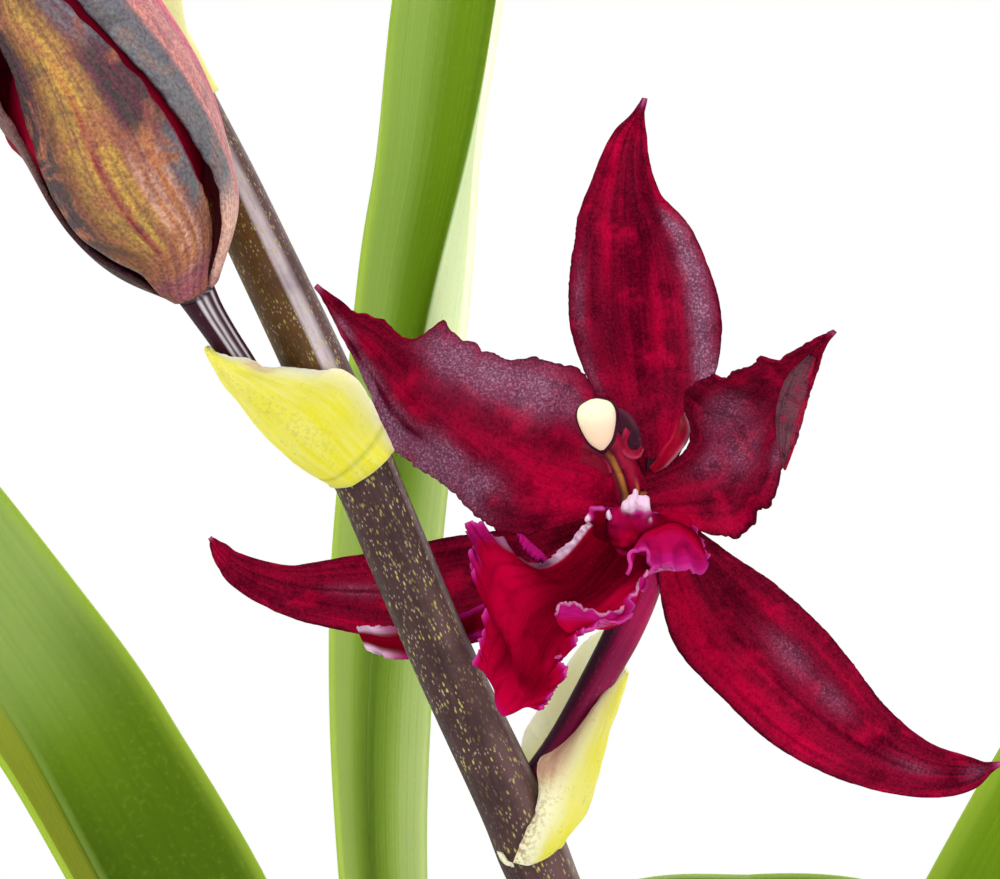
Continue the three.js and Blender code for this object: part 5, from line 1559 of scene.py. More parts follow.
            (MAROON, 0.7, 0.61, -0.29, 0.07, 0.29),
            (MAROON, 0.6, 0.72, -0.6, 0.06, 0.25),
            (SCARLET, 0.5, 0.38, 0.11, 0.06, 0.2),
            (PAINTED_SHEEN, 0.4, 0.53, 0.07, 0.07, 0.2),
            (MAROON, 0.7, 0.33, 0.64, 0.05, 0.2),
            (SCARLET, 0.6, 0.54, -0.75, 0.06, 0.14),
            # painted shade along the creased midrib
            (MAROON, 0.8, 0.5, 0.04, 0.25, 0.07),
        ],
        "stations": [
            (-1.4, 1.6, -1.6, 0.8, 0.8, 0, 0),
            (-6.2, 3.0, -5.0, 3.6, 3.6, 0.6, 0.6),
            (-12.3, 3.6, -7.9, 4.5, 5.0, 0.9, 0.8),
            (-18.3, 4.2, -9.1, 5.6, 5.3, 1.0, 1.0),
            (-24.4, 5.2, -9.6, 5.0, 4.6, 1.0, 1.0),
            (-30.5, 6.6, -9.6, 3.8, 3.5, 0.9, 0.9),
            (-36.1, 8.0, -9.0, 3.0, 2.1, 0.8, 0.8),
            (-40.8, 9.5, -7.4, 2.0, 1.3, 0.6, 0.6),
            (-43.2, 10.5, -5.6, 1.1, 0.8, 0.3, 0.3),
            (-44.4, 11.0, -4.2, 0.3, 0.3, 0, 0),
        ],
    },
]


def reach_of(rim, t):
    """The reach of a margin at t, between the pairs of a rim."""
    for (a, low), (b, high) in zip(rim, rim[1:]):
        if t <= b:
            return low + (high - low) * soft(t, a, b)
    return rim[-1][1]


def frill(t, v, height, waves, phase, lean):
    """The wave of a margin: none at the blade's middle, full at its edge, faded at its base and its tip."""
    fade = min(1, t * 6, (1 - t) * 4)
    turn = 2 * math.pi * waves * t + phase + math.copysign(lean, v)
    return height * abs(v) ** 3 * fade * (math.sin(turn) + 0.35 * math.sin(2.3 * turn + 1))


def tepal_rows(tepal, along=150, across=56):
    path = track(tepal["stations"])
    crease = tepal.get("crease", 0)
    rows = []
    for t in steps(along):
        point, side, face = standing(path, t, VIEWER)
        *_, left, right, left_lift, right_lift = path(t)
        reach = [reach_of(rim, t) for rim in tepal["rims"]]
        row = []
        for v in margins(across):
            wide, lift = (left, left_lift) if v < 0 else (right, right_lift)
            ridge = math.sqrt(v * v + 0.002) - 0.0447
            rise = lift * (crease * ridge + (1 - crease) * v * v) + frill(t, v, *tepal["wave"])
            rough = 0.22 * uneven(14 * t, 1.6 * v, len(tepal["node"])) * soft(t, 0, 0.1)
            nibbled = uneven(46 * t, math.copysign(3, v), 5) + uneven(120 * t, v, 9)
            rim = reach[v > 0] + tepal.get("torn", 0.01) * nibbled * v * v
            row.append(FLOWER + point + side * (max(wide, 0.22) * v * rim) + face * (rise + rough))
        rows.append(row)
    return rows


def patched(base, patches, rim):
    """A colour function of soft patches on a base, with a rim. Its fourth value is the share of painted
    sheen.
    """
    def colour(t, v):
        v = 2 * v - 1
        body = base
        bloom_and_sheen = 0.06
        for tone, share, along, across, reach, spread in patches:
            near = share * math.exp(-(((t - along) / reach) ** 2) - ((v - across) / spread) ** 2)
            body = toned(body, tone, near)
            if tone is PAINTED_SHEEN:
                bloom_and_sheen = max(bloom_and_sheen, near)
            elif near > 0.3:
                bloom_and_sheen *= 1 - near
        return (*toned(body, rim, 0.8 * soft(abs(v), 0.94, 1)), bloom_and_sheen)

    return colour


# The violet sheen, laid on where the paint's fourth value is high, is painted light, and so is the sparkle
# of pale and red glints on it.
def velvet(name, depth):
    material, tree, shader = finish(name, Roughness=0.5)
    place = where(tree)
    tint = painted(tree)
    bloom_and_sheen = painted(tree, 1)
    streaks = drawn_out(tree, (9.0, 1.6), 4.0, Roughness=0.6, Distortion=0.5)
    bands = drawn_out(tree, (2.5, 9.0), 3.0, Roughness=0.6)
    clouds = grain(tree, place, 420.0, 5.0, Roughness=0.65)
    cells = grain(tree, place, 3400.0, 3.0, Roughness=0.6)
    shifted = put(tree, "Mapping", Vector=place, Location=(0.3, 0.1, 0.2))
    glints = grain(tree, shifted, 4300.0, 2.0, Roughness=0.6)
    body = stain(tree, tint, SCARLET, streaks, 0.52, 0.66, 0.4)
    body = stain(tree, body, SCARLET, bands, 0.53, 0.66, 0.55)
    body = stain(tree, body, SHADE, streaks, 0.5, 0.36, 0.7, "MULTIPLY")
    body = stain(tree, body, SHADE, clouds, 0.5, 0.36, 0.6, "MULTIPLY")
    body = blend(tree, sums(tree, "MULTIPLY", bloom_and_sheen, grade(tree, clouds, 0.3, 0.5, 0.6, 1.0)), body, PAINTED_SHEEN)
    body = stain(tree, body, SHADE, cells, 0.5, 0.36, 0.5, "MULTIPLY")
    lit = grade(tree, bloom_and_sheen, 0.0, 0.8, 0.14, 0.8)
    sparkle = sums(tree, "MULTIPLY", grade(tree, glints, 0.48, 0.72), lit)
    spark = stain(tree, RED_GLINT, GLINT, bloom_and_sheen, 0.1, 0.6)
    cover(tree, shader, blend(tree, sparkle, body, spark))
    feed(tree, shader.inputs["Specular IOR Level"], grade(tree, bloom_and_sheen, 0.15, 1.0, 0.0, 0.3))
    relief = sums(tree, "ADD", sums(tree, "MULTIPLY", streaks, 0.8), sums(tree, "MULTIPLY", cells, 0.35))
    emboss(tree, shader, depth, relief, clouds, 0.8)
    return material


petal_velvet = velvet("petal_velvet", 0.3)
for tepal in TEPALS:
    colour = patched(CRIMSON, [*tepal["patches"], (PETAL_TIP, 0.9, 1, 0, 0.02, 2)], MAROON)
    made = skin(tepal["node"] + "_grown", tepal_rows(tepal), colour=colour)
    thicken(made, TEPAL_BLADE)
    stand_for(made, tepal["node"], "petal", petal_velvet)

# Lip: the third petal, a broad showy tongue with one lobe curled back behind the spike and a frilled ear at
# its right. It is crimson in the middle, and its magenta margins are frilled and toothed.
LIP_LEFT = [(-1.6, -2.6, -1.4), (-3.7, -5.3, -0.9), (-5.5, -8, -1.2), (-6.2, -7.5, -2.3), (-7.2, -7, -3.6),
            (-9.3, -7.5, -5.6), (-11.8, -8, -6.3), (-13.6, -8.5, -5.2), (-15.2, -8.9, -3.8),
            (-16.8, -8.5, -2.7), (-17.9, -8, -2.3), (-17.4, -8.3, -3.9), (-17.7, -9, -5.4),
            (-17.4, -10, -7.2), (-14.7, -11, -9.2), (-16.4, -12, -11.4), (-16.5, -13, -13.8),
            (-16.9, -13.5, -15.0), (-16.1, -14, -16.9)]
LIP_MIDDLES = [
    [(-1.1, -2.4, -1.6), (-3.7, -6.0, -2.5), (-5.6, -9.5, -4.8), (-8.9, -11.5, -7.7), (-11.9, -12.5, -7.4),
     (-14.3, -12.0, -7.9), (-14.8, -13.5, -11.7), (-14.2, -14.5, -14.6), (-15.3, -15.5, -16.7),
     (-15.2, -15.8, -18.6)],
    [(-0.6, -2.2, -1.7), (-1.9, -5.0, -4.1), (-3.8, -9.0, -6.5), (-6.0, -12.5, -8.8), (-9.0, -14.5, -10.7),
     (-10.9, -15.5, -13.1), (-12.1, -16.5, -16.2), (-12.9, -17.0, -18.2), (-13.4, -17.3, -19.3),
     (-14.6, -17.4, -20.8)],
    [(-0.1, -2.2, -1.6), (1.0, -5.0, -3.1), (0.9, -8.0, -5.6), (-3.1, -13.0, -8.8), (-5.6, -15.5, -10.9),
     (-9.0, -16.0, -13.4), (-10.2, -17.0, -16.2), (-11.1, -17.0, -18.3), (-11.9, -17.0, -19.5),
     (-12.7, -17.0, -20.0)],
]
LIP_RIGHT = [(0.4, -2.6, -1.4), (2.7, -3.3, -1.9), (4.4, -4, -2.8), (5.4, -5, -4.6), (5.4, -6, -6.3),
             (2.6, -9.5, -6.3), (-0.1, -13, -7.1), (-0.9, -14, -8.3), (-2.0, -15, -9.7), (-2.2, -16, -11.2),
             (-5.1, -17, -12.3), (-7.0, -17.4, -12.4), (-7.7, -17, -14.0), (-9.1, -17, -15.2),
             (-8.3, -17, -16.5), (-9.3, -17, -18.0), (-10.0, -17, -19.0), (-10.4, -17, -19.6),
             (-10.9, -17, -20.2)]
LIP_LOBE = [
    [(-14.2, -10.8, -8.9), (-14.6, -12.4, -11.4), (-15.2, -13.6, -13.6)],
    [(-16.4, -7.0, -10.4), (-16.8, -7.6, -12.1), (-17.1, -8.0, -13.6)],
    [(-19.1, -3.8, -11.7), (-19.2, -4.2, -13.2), (-19.2, -4.4, -14.6)],
    [(-22.3, -2.8, -12.7), (-22.4, -3.0, -14.2), (-22.4, -3.2, -15.6)],
    [(-26.0, -1.8, -12.8), (-25.8, -2.0, -14.4), (-25.3, -2.2, -16.0)],
    [(-29.0, -1.2, -12.8), (-28.7, -1.3, -13.8), (-28.0, -1.4, -15.1)],
]
MAGENTA = (0.36, 0.006, 0.13)
HOT_PINK = (0.55, 0.06, 0.3)
LIP_RED = (0.13, 0.0, 0.006)
LIP_BRIGHT = (0.34, 0.0003, 0.024)
LIP_DARK = (0.06, 0.0, 0.004)
LIP_WHITE = (0.66, 0.46, 0.6)
LIP_VIOLET = (0.2, 0.08, 0.14)
UNDER_LILAC = (0.42, 0.14, 0.3)
UNDER_RED = (0.3, 0.004, 0.05)
LIP_BLADE = 0.34


def lip_ruffle(t, v):
    edge = abs(v) ** 7 * soft(t, 0.08, 0.2) * (1 - 0.8 * soft(v, 0, -0.5) * soft(t, 0.46, 0.4))
    turn = 2 * math.pi * (13 if v < 0 else 9) * t + 2 * v
    rise = edge * (0.5 * math.sin(turn) + 0.25 * math.sin(2.3 * turn + 1))
    fine = uneven(70 * t, math.copysign(4, v), 1) + 0.7 * uneven(150 * t, v, 3)
    swell = 0.5 * uneven(7 * t, 2 * v, 4)
    return rise + swell, abs(v) ** 11 * 0.4 * fine


def lobe_ruffle(t, v):
    edge = abs(v) ** 3 * soft(t, 0.2, 0.6)
    return edge * 0.35 * math.sin(40 * t + v), edge * 0.25 * uneven(50 * t, v, 2)


lip_patches = patched(LIP_RED, [
    (LIP_DARK, 1, 0.26, -0.1, 0.1, 0.45),
    (LIP_DARK, 0.95, 0.36, 0.05, 0.1, 0.45),
    (LIP_DARK, 0.7, 0.47, 0.3, 0.07, 0.3),
    (LIP_DARK, 0.4, 0.72, -0.05, 0.06, 0.3),
    (MAGENTA, 0.6, 0.06, 0, 0.06, 1.2),
    (LIP_BRIGHT, 0.95, 0.52, -0.55, 0.07, 0.3),
    (LIP_BRIGHT, 0.8, 0.62, -0.45, 0.09, 0.35),
    (LIP_BRIGHT, 0.7, 0.4, 0.62, 0.08, 0.22),
    (LIP_BRIGHT, 0.6, 0.28, 0.6, 0.07, 0.2),
    (LIP_BRIGHT, 0.6, 0.88, -0.5, 0.07, 0.3),
    (LIP_BRIGHT, 0.5, 0.62, 0.55, 0.07, 0.2),
    (LIP_BRIGHT, 1, 0.94, 0.1, 0.09, 1.1),
    (LIP_BRIGHT, 0.7, 0.82, 0.05, 0.07, 0.4),
    (MAGENTA, 0.5, 1.0, -0.2, 0.03, 1),
], LIP_BRIGHT)


# The hot pink at the very rim is partly the margin's own pink and partly painted highlight on the frills.
def lip_colour(t, v):
    body = lip_patches(t, v)[:3]
    v = 2 * v - 1
    body = toned(body, LIP_BRIGHT, 0.6 * soft(abs(v), 0.65, 0.9))
    band = 0.8 * soft(v, 0, -0.1) * soft(abs(t - 0.56), 0.14, 0.06)
    body = toned(body, MAGENTA, max(soft(abs(v), 0.88, 0.98), band * soft(v, -0.78, -0.92)))
    body = toned(body, HOT_PINK, 0.7 * soft(abs(v), 0.965, 1))
    turned = soft(v, -0.8, -0.87) * soft(t, 0.15, 0.18)
    body = toned(body, LIP_VIOLET, 0.9 * turned * soft(t, 0.49, 0.44))
    return toned(body, LIP_WHITE, turned * soft(t, 0.31, 0.26) * (0.6 + 0.6 * uneven(110 * t, 9 * v, 1)))


def lobe_colour(t, v):
    body = toned(LIP_RED, MAGENTA, soft(abs(2 * v - 1), 0.5, 0.9))
    return toned(body, LIP_WHITE, 0.9 * soft(t, 0.7, 0.95) * soft(abs(2 * v - 1), 0.3, 0.8))


def silk():
    material, tree, shader = finish("lip_silk", Roughness=0.5, Specular_IOR_Level=0.0)
    place = where(tree)
    tint = painted(tree)
    veins = drawn_out(tree, (16.0, 3.0), 3.0, Distortion=0.6)
    clouds = grain(tree, place, 340.0, 3.0)
    cells = grain(tree, place, 4200.0, 2.0)
    body = stain(tree, tint, SHADE, clouds, 0.5, 0.38, 0.4, "MULTIPLY")
    body = stain(tree, body, LIP_BRIGHT, veins, 0.54, 0.7, 0.2)
    body = stain(tree, body, SHADE, veins, 0.47, 0.34, 0.4, "MULTIPLY")
    body = stain(tree, body, RED_GLINT, cells, 0.62, 0.76, 0.15)
    cover(tree, shader, body)
    emboss(tree, shader, 0.1, veins, cells, 0.25)
    return material


def striped_underside():
    material, tree, shader = finish("lip_underside", Roughness=0.45, Specular_IOR_Level=0.05)
    place = where(tree)
    stripes = drawn_out(tree, (60.0, 6.0), 3.0)
    clouds = grain(tree, place, 260.0, 3.0)
    body = stain(tree, UNDER_LILAC, MAGENTA, stripes, 0.42, 0.6)
    cover(tree, shader, stain(tree, body, UNDER_RED, clouds, 0.45, 0.6))
    emboss(tree, shader, 0.1, stripes)
    return material


lip_silk = silk()
lip_under = striped_underside()
lip_rows = lines_rows([LIP_LEFT, *LIP_MIDDLES, LIP_RIGHT], 200, 80, lip_ruffle)
lip = skin("lip_grown", lip_rows, colour=lip_colour)
lip_lobe = skin("lip_lobe_grown", lines_rows(list(zip(*LIP_LOBE)), 90, 30, lobe_ruffle), colour=lobe_colour)
# The ear is a frilled sheet at the right of the lip's base. The curl is the rolled margin below it, and the
# ridge stands on the other margin.
LIP_EAR = [
    [(-1.9, -11.5, -5.9), (-1.1, -9.5, -4.2), (0, -8, -3.1), (1.4, -6.8, -2.3), (3.0, -6.2, -2.3),
     (4.6, -6.2, -3.6), (5.3, -6.6, -5.3)],
    [(-2.1, -13.2, -6.5), (-1.5, -11.6, -4.7), (-0.7, -10.6, -3.8), (0.4, -10, -3.7), (1.5, -9.2, -3.3),
     (2.9, -8.4, -3.5), (4.3, -7.8, -4.6), (5.4, -7.3, -5.8)],
    [(-2.5, -14.5, -7.3), (-2.3, -14.2, -6.1), (-1.9, -13.8, -5.2), (-1.3, -13.4, -4.8), (-0.7, -13, -5.1),
     (-0.2, -12.6, -6.0), (0.3, -12.2, -6.9), (0.8, -11.8, -6.7), (1.4, -11.2, -6.6), (2.0, -10.6, -6.8),
     (2.7, -9.8, -7.0), (3.5, -9.2, -7.0), (4.4, -8.6, -7.2), (5.1, -8.2, -7.4), (5.6, -7.8, -6.5),
     (5.3, -7.4, -5.4)],
]
LIP_CURL = [
    [(-9.2, -17, -11.7), (-8.7, -17, -12.4), (-8.1, -17, -12.8), (-7.3, -16.8, -12.6), (-6.3, -16.6, -12.3),
     (-5.1, -16.2, -12.5), (-3.9, -15.6, -12.3), (-2.8, -15, -11.7), (-1.8, -14.4, -10.2),
     (-1.1, -13.8, -8.7), (-0.4, -13.2, -7.2)],
    [(-9.4, -17.5, -11.0), (-9.1, -18, -10.1), (-8.3, -18, -9.8), (-7.4, -17.8, -10.0),
     (-6.3, -17.4, -10.5), (-5.1, -17, -10.9), (-4.0, -16.4, -10.9), (-3.0, -15.8, -10.3),
     (-2.0, -15.2, -9.2), (-1.2, -14.6, -8.1), (-0.6, -14, -6.8)],
]
LIP_RIDGE = [
    [(-12.6, -8.6, -3.6), (-11.6, -8.8, -4.5), (-10.6, -8.9, -5.4), (-10.2, -8.8, -6.0)],
    [(-13.1, -8.8, -3.4), (-12.4, -9.4, -4.9), (-11.5, -9.6, -5.8), (-10.5, -9.2, -6.2)],
]


def ear_ruffle(t, v):
    edge = soft(v, 0.2, 1)
    return 0.25 * edge * math.sin(40 * t), 0.3 * edge * uneven(2 * v, 26 * t, 6)


# The ear's hot pink rim is partly its own pink and partly painted highlight on the frills.
def ear_colour(t, v):
    body = toned(LIP_RED, LIP_BRIGHT, soft(v, 0.1, 0.4))
    body = toned(body, MAGENTA, 0.35 * soft(v, 0.4, 0.6) + 0.65 * soft(v, 0.72, 0.92))
    return toned(body, HOT_PINK, 0.5 * soft(v, 0.92, 1))


# The curl's rim is painted with a pink highlight.
def curl_colour(t, v):
    body = toned(LIP_BRIGHT, MAGENTA, soft(v, 0.25, 0.7))
    return toned(body, PAINTED_PINK_HIGHLIGHT, 0.6 * soft(v, 0.92, 1))


lip_ear = skin("lip_ear_grown", lines_rows(LIP_EAR, 120, 24, ear_ruffle), colour=ear_colour)
lip_curl = skin("lip_curl_grown", lines_rows(LIP_CURL, 90, 12, ear_ruffle), colour=curl_colour)
lip_ridge = skin("lip_ridge_grown", lines_rows(LIP_RIDGE, 30, 8, ear_ruffle), colour=lambda t, v: MAGENTA)
lip_sheets = [(lip, lip_under), (lip_lobe, lip_under), (lip_ear, lip_silk), (lip_curl, lip_silk),
              (lip_ridge, lip_silk)]
for made, back in lip_sheets:
    made.data.flip_normals()
    thicken(made, LIP_BLADE)
    stand_for(made, "lip", "lip", lip_silk, back)

# Callus: the fleshy crest on the lip's base, a magenta boss with a forked white tooth and smaller bumps.
# It is one firm growth with the lip, so its lumps are melted together.
CALLUS_RED = (0.3, 0.002, 0.05)
CALLUS_GRID = 0.12
# Each lump is [x, y, z, its reach in x, y and z, colour], from the flower's centre.
CALLUS_LUMPS = [
    (-1.3, -7.4, -4.3, 2.8, 1.0, 2.0, CALLUS_RED),
    (2.0, -6.0, -2.7, 2.2, 1.0, 1.6, LIP_BRIGHT),
    (-2.2, -7.8, -2.9, 2.5, 1.2, 2.2, LIP_RED),
    (0.2, -7.2, -3.2, 1.9, 1.0, 1.9, LIP_RED),
    (-3.1, -8.1, -2.2, 1.2, 1.1, 1.5, CALLUS_RED),
    (-1.1, -8.0, -2.0, 1.5, 1.1, 1.3, CALLUS_RED),
    (-2.3, -8.4, -3.9, 1.1, 0.8, 1.1, LIP_BRIGHT),
    (-2.4, -9.0, -0.7, 0.45, 0.7, 0.6, LIP_WHITE),
    (-1.9, -9.1, -0.4, 0.45, 0.7, 0.9, LIP_WHITE),
    (-1.5, -9.1, 0.1, 0.3, 0.5, 0.9, LIP_WHITE),
    (-0.5, -8.9, -0.6, 0.55, 0.6, 0.9, LIP_WHITE),
    (-1.1, -8.9, -0.4, 0.5, 0.5, 0.7, LIP_WHITE),
    (-1.0, -8.9, -1.4, 1.4, 0.6, 0.4, MAGENTA),
    (-5.2, -8.8, -1.6, 0.85, 0.8, 1.2, LIP_RED),
    (-5.9, -9.3, -1.5, 0.3, 0.5, 0.8, MAGENTA),
    (-6.2, -9.5, -1.9, 0.28, 0.4, 0.4, LIP_WHITE),
    (-5.3, -9.3, -0.9, 0.8, 0.35, 0.25, HOT_PINK),
    (-4.1, -9.2, -1.6, 0.2, 0.3, 0.6, LIP_WHITE),
    (-4.9, -8.3, -3.2, 0.7, 0.8, 1.6, LIP_DARK),
    (-0.1, -8.6, -2.0, 0.25, 0.25, 0.3, LIP_WHITE),
]


def melted(name, lumps, voxel):
    """One mesh of ball-shaped lumps that have grown together, painted by the nearest ones."""
    work = bmesh.new()
    for x, y, z, *reach, tone in lumps:
        place = Matrix.Translation(Vector((x, y, z)) * MM) @ Matrix.Diagonal((*(Vector(reach) * MM), 1))
        bmesh.ops.create_icosphere(work, subdivisions=3, radius=1, matrix=place)
    mesh = bpy.data.meshes.new(name)
    work.to_mesh(mesh)
    work.free()
    made = bpy.data.objects.new(name, mesh)
    bpy.context.collection.objects.link(made)
    grown = made.modifiers.new("grown_together", "REMESH")
    grown.mode = "VOXEL"
    grown.voxel_size = voxel * MM
    even = made.modifiers.new("even", "SMOOTH")
    even.iterations = 4
    bpy.context.view_layer.update()
    mesh = bpy.data.meshes.new_from_object(made.evaluated_get(bpy.context.evaluated_depsgraph_get()))
    made.modifiers.clear()
    layer = mesh.color_attributes.new("paint", "FLOAT_COLOR", "POINT")
    tones = []
    for vert in mesh.vertices:
        shares = []
        for x, y, z, *reach, tone in lumps:
            away = vert.co / MM - Vector((x, y, z))
            shares.append(math.exp(-7 * Vector([a / b for a, b in zip(away, reach)]).length))
        whole = sum(shares)
        for part in range(3):
            tones.append(sum(share * lump[6][part] for share, lump in zip(shares, lumps)) / whole)
        tones.append(1.0)
    layer.data.foreach_set("color", tones)
    for vert in mesh.vertices:
        vert.co += 0.25 * MM * noise.noise(vert.co * 1300) * vert.normal
    mesh.transform(Matrix.Translation(FLOWER * MM))
    mesh.shade_smooth()
    made.data = mesh
    return made


callus = melted("lip_callus", CALLUS_LUMPS, CALLUS_GRID)
stand_for(callus, "lip", "lip", lip_silk)

# Column: the fused stamen and style, a fleshy dark red post over the lip with a wing at each side.
# Its ivory anther cap sits on the end like a lid and hides the pollen.
COLUMN = [
    (-0.4, 1.6, 0.1, 0.9),
    (-1.3, -0.6, -0.1, 1.1),
    (-2.0, -2.8, 0.1, 1.2),
    (-2.2, -4.4, 1.3, 1.3),
    (-2.7, -5.9, 2.9, 1.4),
    (-3.5, -7.2, 4.5, 1.45),
    (-4.4, -8.3, 5.8, 1.5),
    (-4.9, -8.9, 6.8, 1.2),
]
COLUMN_RED = (0.3, 0.003, 0.03)
COLUMN_DARK = (0.035, 0.002, 0.012)
COLUMN_ROSE = (0.36, 0.025, 0.07)
COLUMN_ORANGE = (0.55, 0.2, 0.05)
COLUMN_SHADE = (0.3, 0.2, 0.3)
WING_PLUM = (0.08, 0.015, 0.035)
FLAP_ROSE = (0.28, 0.015, 0.05)
FLAP_RED = (0.17, 0.001, 0.016)
CURL_PAINTED_HIGHLIGHT = (0.42, 0.14, 0.2)
CURL_RED = (0.33, 0.001, 0.022)
SHEET_BLADE = 0.3
# Each small sheet round the column is [node, one edge, the other edge, the first edge's tone, the rest's].
COLUMN_SHEETS = {
    "column_wing": (
        "column",
        [(-3.2, -6.2, 9.0), (-2.1, -5.6, 8.4), (-1.2, -5.4, 7.1), (-0.8, -5.6, 5.7), (-0.7, -6, 4.6)],
        [(-4.2, -7.2, 7.3), (-3.6, -7, 6.4), (-3.2, -6.9, 5.5), (-2.8, -6.8, 4.7), (-2.1, -6.8, 4.1)],
        WING_PLUM,
        COLUMN_DARK,
    ),
    "column_cup": (
        "column",
        [(-2.5, -7.6, 7.0), (-2.9, -8.2, 6.1), (-3.0, -8.5, 5.2), (-2.6, -8.5, 4.4), (-1.8, -8.3, 4.0),
         (-1.1, -7.9, 4.2), (-0.8, -7.2, 4.9)],
        [(-2.1, -7.0, 6.4), (-2.4, -7, 5.8), (-2.3, -7.1, 5.2), (-2.0, -7.1, 4.8), (-1.6, -7, 4.7),
         (-1.2, -6.9, 4.8), (-0.9, -6.8, 5.1)],
        COLUMN_ROSE,
        COLUMN_RED,
    ),
    "column_flap": (
        "column",
        [(-6.6, -7, 5.4), (-5.7, -7.8, 5.1), (-4.9, -8.2, 4.6), (-4.2, -8.1, 3.7), (-3.9, -7.6, 2.6)],
        [(-6.9, -6.6, 3.6), (-6.3, -7.2, 3.4), (-5.5, -7.5, 3.0), (-4.7, -7.3, 2.5), (-4.1, -7, 2.1)],
        FLAP_ROSE,
        FLAP_RED,
    ),
    # The curl's first edge is a pale rose painted highlight on the dorsal sepal's base.
    "petal_curl": (
        "dorsal_sepal",
        [(0.8, 0.4, 2.4), (1.9, 0.2, 3.3), (3.1, 0, 4.6), (3.9, 0.3, 5.7), (4.2, 0.8, 7.0),
         (3.7, 1.4, 8.5)],
        [(0.2, -1.0, 3.0), (0.9, -1.4, 3.8), (1.5, -1.6, 4.9), (2.3, -1.4, 6.0), (2.8, -0.9, 7.2),
         (3.2, -0.2, 8.2)],
        CURL_PAINTED_HIGHLIGHT,
        CURL_RED,
    ),
}
# The shadow wedge is a near-black wedge behind the column, put there as painted shadow between the column
# and the petals: its radius at each depth, and its corners' angles.
SHADOW_WEDGE_PROFILE = ((0.3, 1.0), (2.2, 1.1), (3.6, 1.6), (4.3, 2.3), (3.2, 3.2), (0.3, 3.5))
SHADOW_WEDGE_TURNS = [math.radians(43.67616 + 5.5 * j) for j in range(9)]
FOLD_GREY = (0.14, 0.06, 0.08)
PETAL_FOLD = [
    [(15.3, -12.6, 14.0), (13.9, -10.4, 12.8), (13.1, -7.9, 11.3), (12.6, -5, 8.8), (12.8, -3.3, 5.8),
     (13.4, -2.4, 3.2)],
    [(16.0, -12.4, 13.8), (15.7, -10.9, 12.1), (15.5, -8.5, 9.9), (14.9, -5.9, 7.4), (14.3, -4.3, 5.0),
     (13.6, -2.4, 2.8)],
]
CAP_PROFILE = [(0.01, -2.85), (0.32, -2.75), (1.15, -1.9), (1.75, -0.4), (1.95, 1.0), (1.55, 2.0),
               (0.5, 2.5), (0.01, 2.55)]
CAP_AT = Vector((-5.25, -11, 7.45))
CAP_LEAN = -9
CAP_IVORY = (0.74, 0.72, 0.5)
CAP_PEACH = (0.72, 0.52, 0.37)


def column_flesh():
    material, tree, shader = finish("column_flesh", Roughness=0.35, Specular_IOR_Level=0.06)
    place = where(tree)
    tint = painted(tree)
    cloud = grain(tree, place, 420.0, 4.0)
    fine = grain(tree, place, 2600.0, 2.0)
    body = stain(tree, tint, COLUMN_SHADE, cloud, 0.5, 0.35, 0.6, "MULTIPLY")
    cover(tree, shader, stain(tree, body, COLUMN_ROSE, fine, 0.6, 0.75, 0.3))
    emboss(tree, shader, 0.12, cloud, fine, 0.3)
    return material


def cap_wax():
    material, tree, shader = finish("anther_cap_wax", Roughness=0.45, Specular_IOR_Level=0.2,
                                    Subsurface_Weight=0.1, Subsurface_Scale=0.001)
    tint = painted(tree)
    fine = grain(tree, where(tree), 1500.0, 3.0)
    cover(tree, shader, stain(tree, tint, CAP_PEACH, fine, 0.5, 0.7, 0.3))
    emboss(tree, shader, 0.06, fine)
    return material


# The column is painted near black on its sides and at its foot as painted shade; its face is red with two
# orange lines and a dark line between them.
def column_colour(t, v):
    body = toned(COLUMN_DARK, COLUMN_RED, soft(t, 0.15, 0.4) * soft(abs(v - 0.56), 0.28, 0.16))
    body = toned(body, COLUMN_DARK, 0.8 * soft(abs(v - 0.62), 0.09, 0.05))
    body = toned(body, COLUMN_ORANGE, soft(abs(v - 0.62), 0.04, 0.015) * soft(t, 0.95, 0.6))
    return toned(body, COLUMN_ORANGE, 0.8 * soft(abs(v - 0.44), 0.03, 0.008) * soft(t, 0.55, 0.4))


def cap_colour(t, v):
    return toned(CAP_PEACH, CAP_IVORY, soft(t, 0.35, 0.62))


flesh_red = column_flesh()
column_stations = [(*(FLOWER + Vector(station[:3])), station[3]) for station in COLUMN]
column = skin("column_grown", rod(column_stations, 60, 40), solid=True, colour=column_colour)
stand_for(column, "column", "column", flesh_red)
shadow_wedge_rows = [[FLOWER + Vector((-0.3 + r * math.cos(a), y, 0.2 + r * math.sin(a))) for a in SHADOW_WEDGE_TURNS]
              for r, y in SHADOW_WEDGE_PROFILE]
shadow_wedge = skin("flower_shadow_wedge", shadow_wedge_rows, solid=True, colour=lambda t, v: COLUMN_DARK)
stand_for(shadow_wedge, "column", "column", flesh_red)
for name, (node, outer, inner, rim, middle) in COLUMN_SHEETS.items():
    edges = [track(outer), track(inner)]
    rows = []
    for t in steps(40):
        a, b = (Vector(edge(t)) for edge in edges)
        bulge = (b - a).cross(Vector((0, 0, 1))).normalized() * 0.15
        rows.append([FLOWER + a.lerp(b, j / 12) + bulge * math.sin(math.pi * j / 12) for j in range(13)])

    def sheet_colour(t, v, rim=rim, middle=middle):
        return toned(rim, middle, soft(v, 0.02, 0.28))

    made = skin(name, rows, colour=sheet_colour)
    thicken(made, SHEET_BLADE)
    stand_for(made, node, "column", flesh_red)
petal_fold = skin("petal_fold", lines_rows(PETAL_FOLD, 60, 10),
                  colour=lambda t, v: (*toned(FOLD_GREY, SCARLET, 0.8 * soft(v, 0.75, 0.95)), 0.0))
thicken(petal_fold, SHEET_BLADE)
stand_for(petal_fold, "right_petal", "petal", petal_velvet)
cap_line = track(CAP_PROFILE)
cap_rows = turned([cap_line(t) for t in steps(40)], 40)
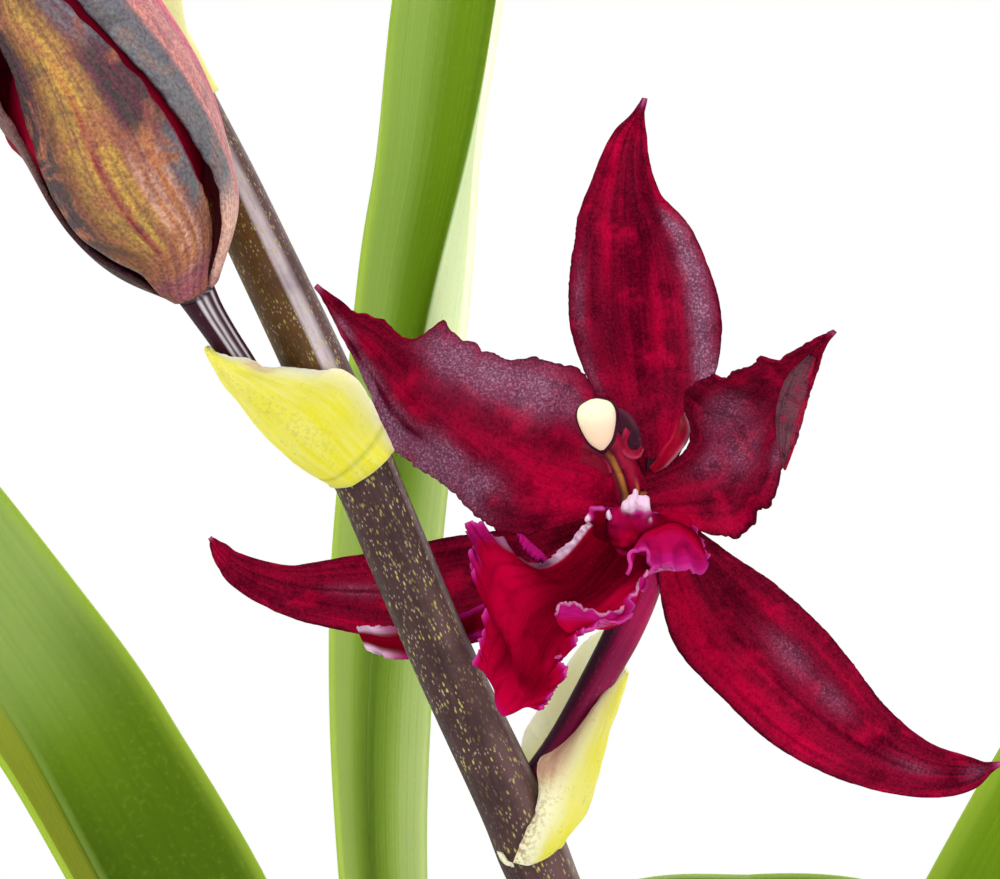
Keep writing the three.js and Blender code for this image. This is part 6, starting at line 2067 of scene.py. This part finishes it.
cap_place = Matrix.Translation(FLOWER + CAP_AT) @ Matrix.Rotation(math.radians(CAP_LEAN), 4, "Y")
cap_place = cap_place @ Matrix.Diagonal((0.97, 0.62, 0.94, 1))
# The cap's shadow is the column's head behind the cap, a near-black oval a little larger than the cap,
# painted as the shadow round it.
cap_shadow_place = cap_place @ Matrix.Translation((0.1, 1.6, -0.15)) @ Matrix.Diagonal((1.14, 1, 1.1, 1))
cap_shadow_rows = [[cap_shadow_place @ p for p in row] for row in cap_rows]
cap_shadow = skin("column_cap_shadow", cap_shadow_rows, solid=True, colour=lambda t, v: COLUMN_DARK)
stand_for(cap_shadow, "column", "column", flesh_red)
cap_rows = [[cap_place @ p for p in row] for row in cap_rows]
cap = skin("anther_cap_grown", cap_rows, solid=True, colour=cap_colour)
stand_for(cap, "anther_cap", "cap", cap_wax())

# Studio: a pale floor, a white surround, and large soft lamps at the left, the right and behind.
# The camera looks level at the open flower, as the photograph does.
CAMERA_AT = (-4.8, -550, 344.85)
SENSOR = 36
LENS = 180
FLOOR_SHADE = (0.82, 0.82, 0.81)
FLOOR_PALE = (0.86, 0.86, 0.86)
# The floor's radius and the lamps are in metres. Each lamp is [name, place, size, power].
FLOOR_RADIUS = 3
LAMPS = [
    ("key_lamp", (-0.7, -0.9, 1.15), 0.7, 11),
    ("fill_lamp", (0.9, -0.8, 0.5), 0.9, 4),
    ("back_lamp", (0.3, 1.1, 1.1), 0.9, 8),
]


def soft_lamp(name, place, size, power):
    """A square lamp that is aimed at the flower."""
    lamp = bpy.data.lights.new(name, "AREA")
    lamp.size = size
    lamp.energy = power
    made = bpy.data.objects.new(name, lamp)
    made.location = place
    made.rotation_euler = (FLOWER * MM - Vector(place)).to_track_quat("-Z", "Y").to_euler()
    bpy.context.collection.objects.link(made)


bpy.ops.mesh.primitive_circle_add(vertices=96, radius=FLOOR_RADIUS, fill_type="NGON")
floor = bpy.context.object
floor.name = "studio_floor"
floor_paint, floor_tree, floor_shader = finish("studio_floor_paint", Roughness=0.7, Specular_IOR_Level=0.2)
floor_noise = grain(floor_tree, where(floor_tree), 3.0)
cover(floor_tree, floor_shader, blend(floor_tree, floor_noise, FLOOR_SHADE, FLOOR_PALE))
floor.data.materials.append(floor_paint)

for name, place, size, power in LAMPS:
    soft_lamp(name, place, size, power)

world = bpy.data.worlds.new("studio_white")
bpy.context.scene.world = world
world.use_nodes = True
world.node_tree.nodes["Background"].inputs["Color"].default_value = (1, 1, 1, 1)
world.node_tree.nodes["Background"].inputs["Strength"].default_value = 1.0
bpy.context.scene.view_settings.view_transform = "Standard"

camera_data = bpy.data.cameras.new("studio_camera")
camera_data.sensor_width = SENSOR
camera_data.lens = LENS
camera_data.clip_start = 0.01
camera = bpy.data.objects.new("studio_camera", camera_data)
camera.location = Vector(CAMERA_AT) * MM
camera.rotation_euler = (math.pi / 2, 0, 0)
bpy.context.collection.objects.link(camera)
bpy.context.scene.camera = camera
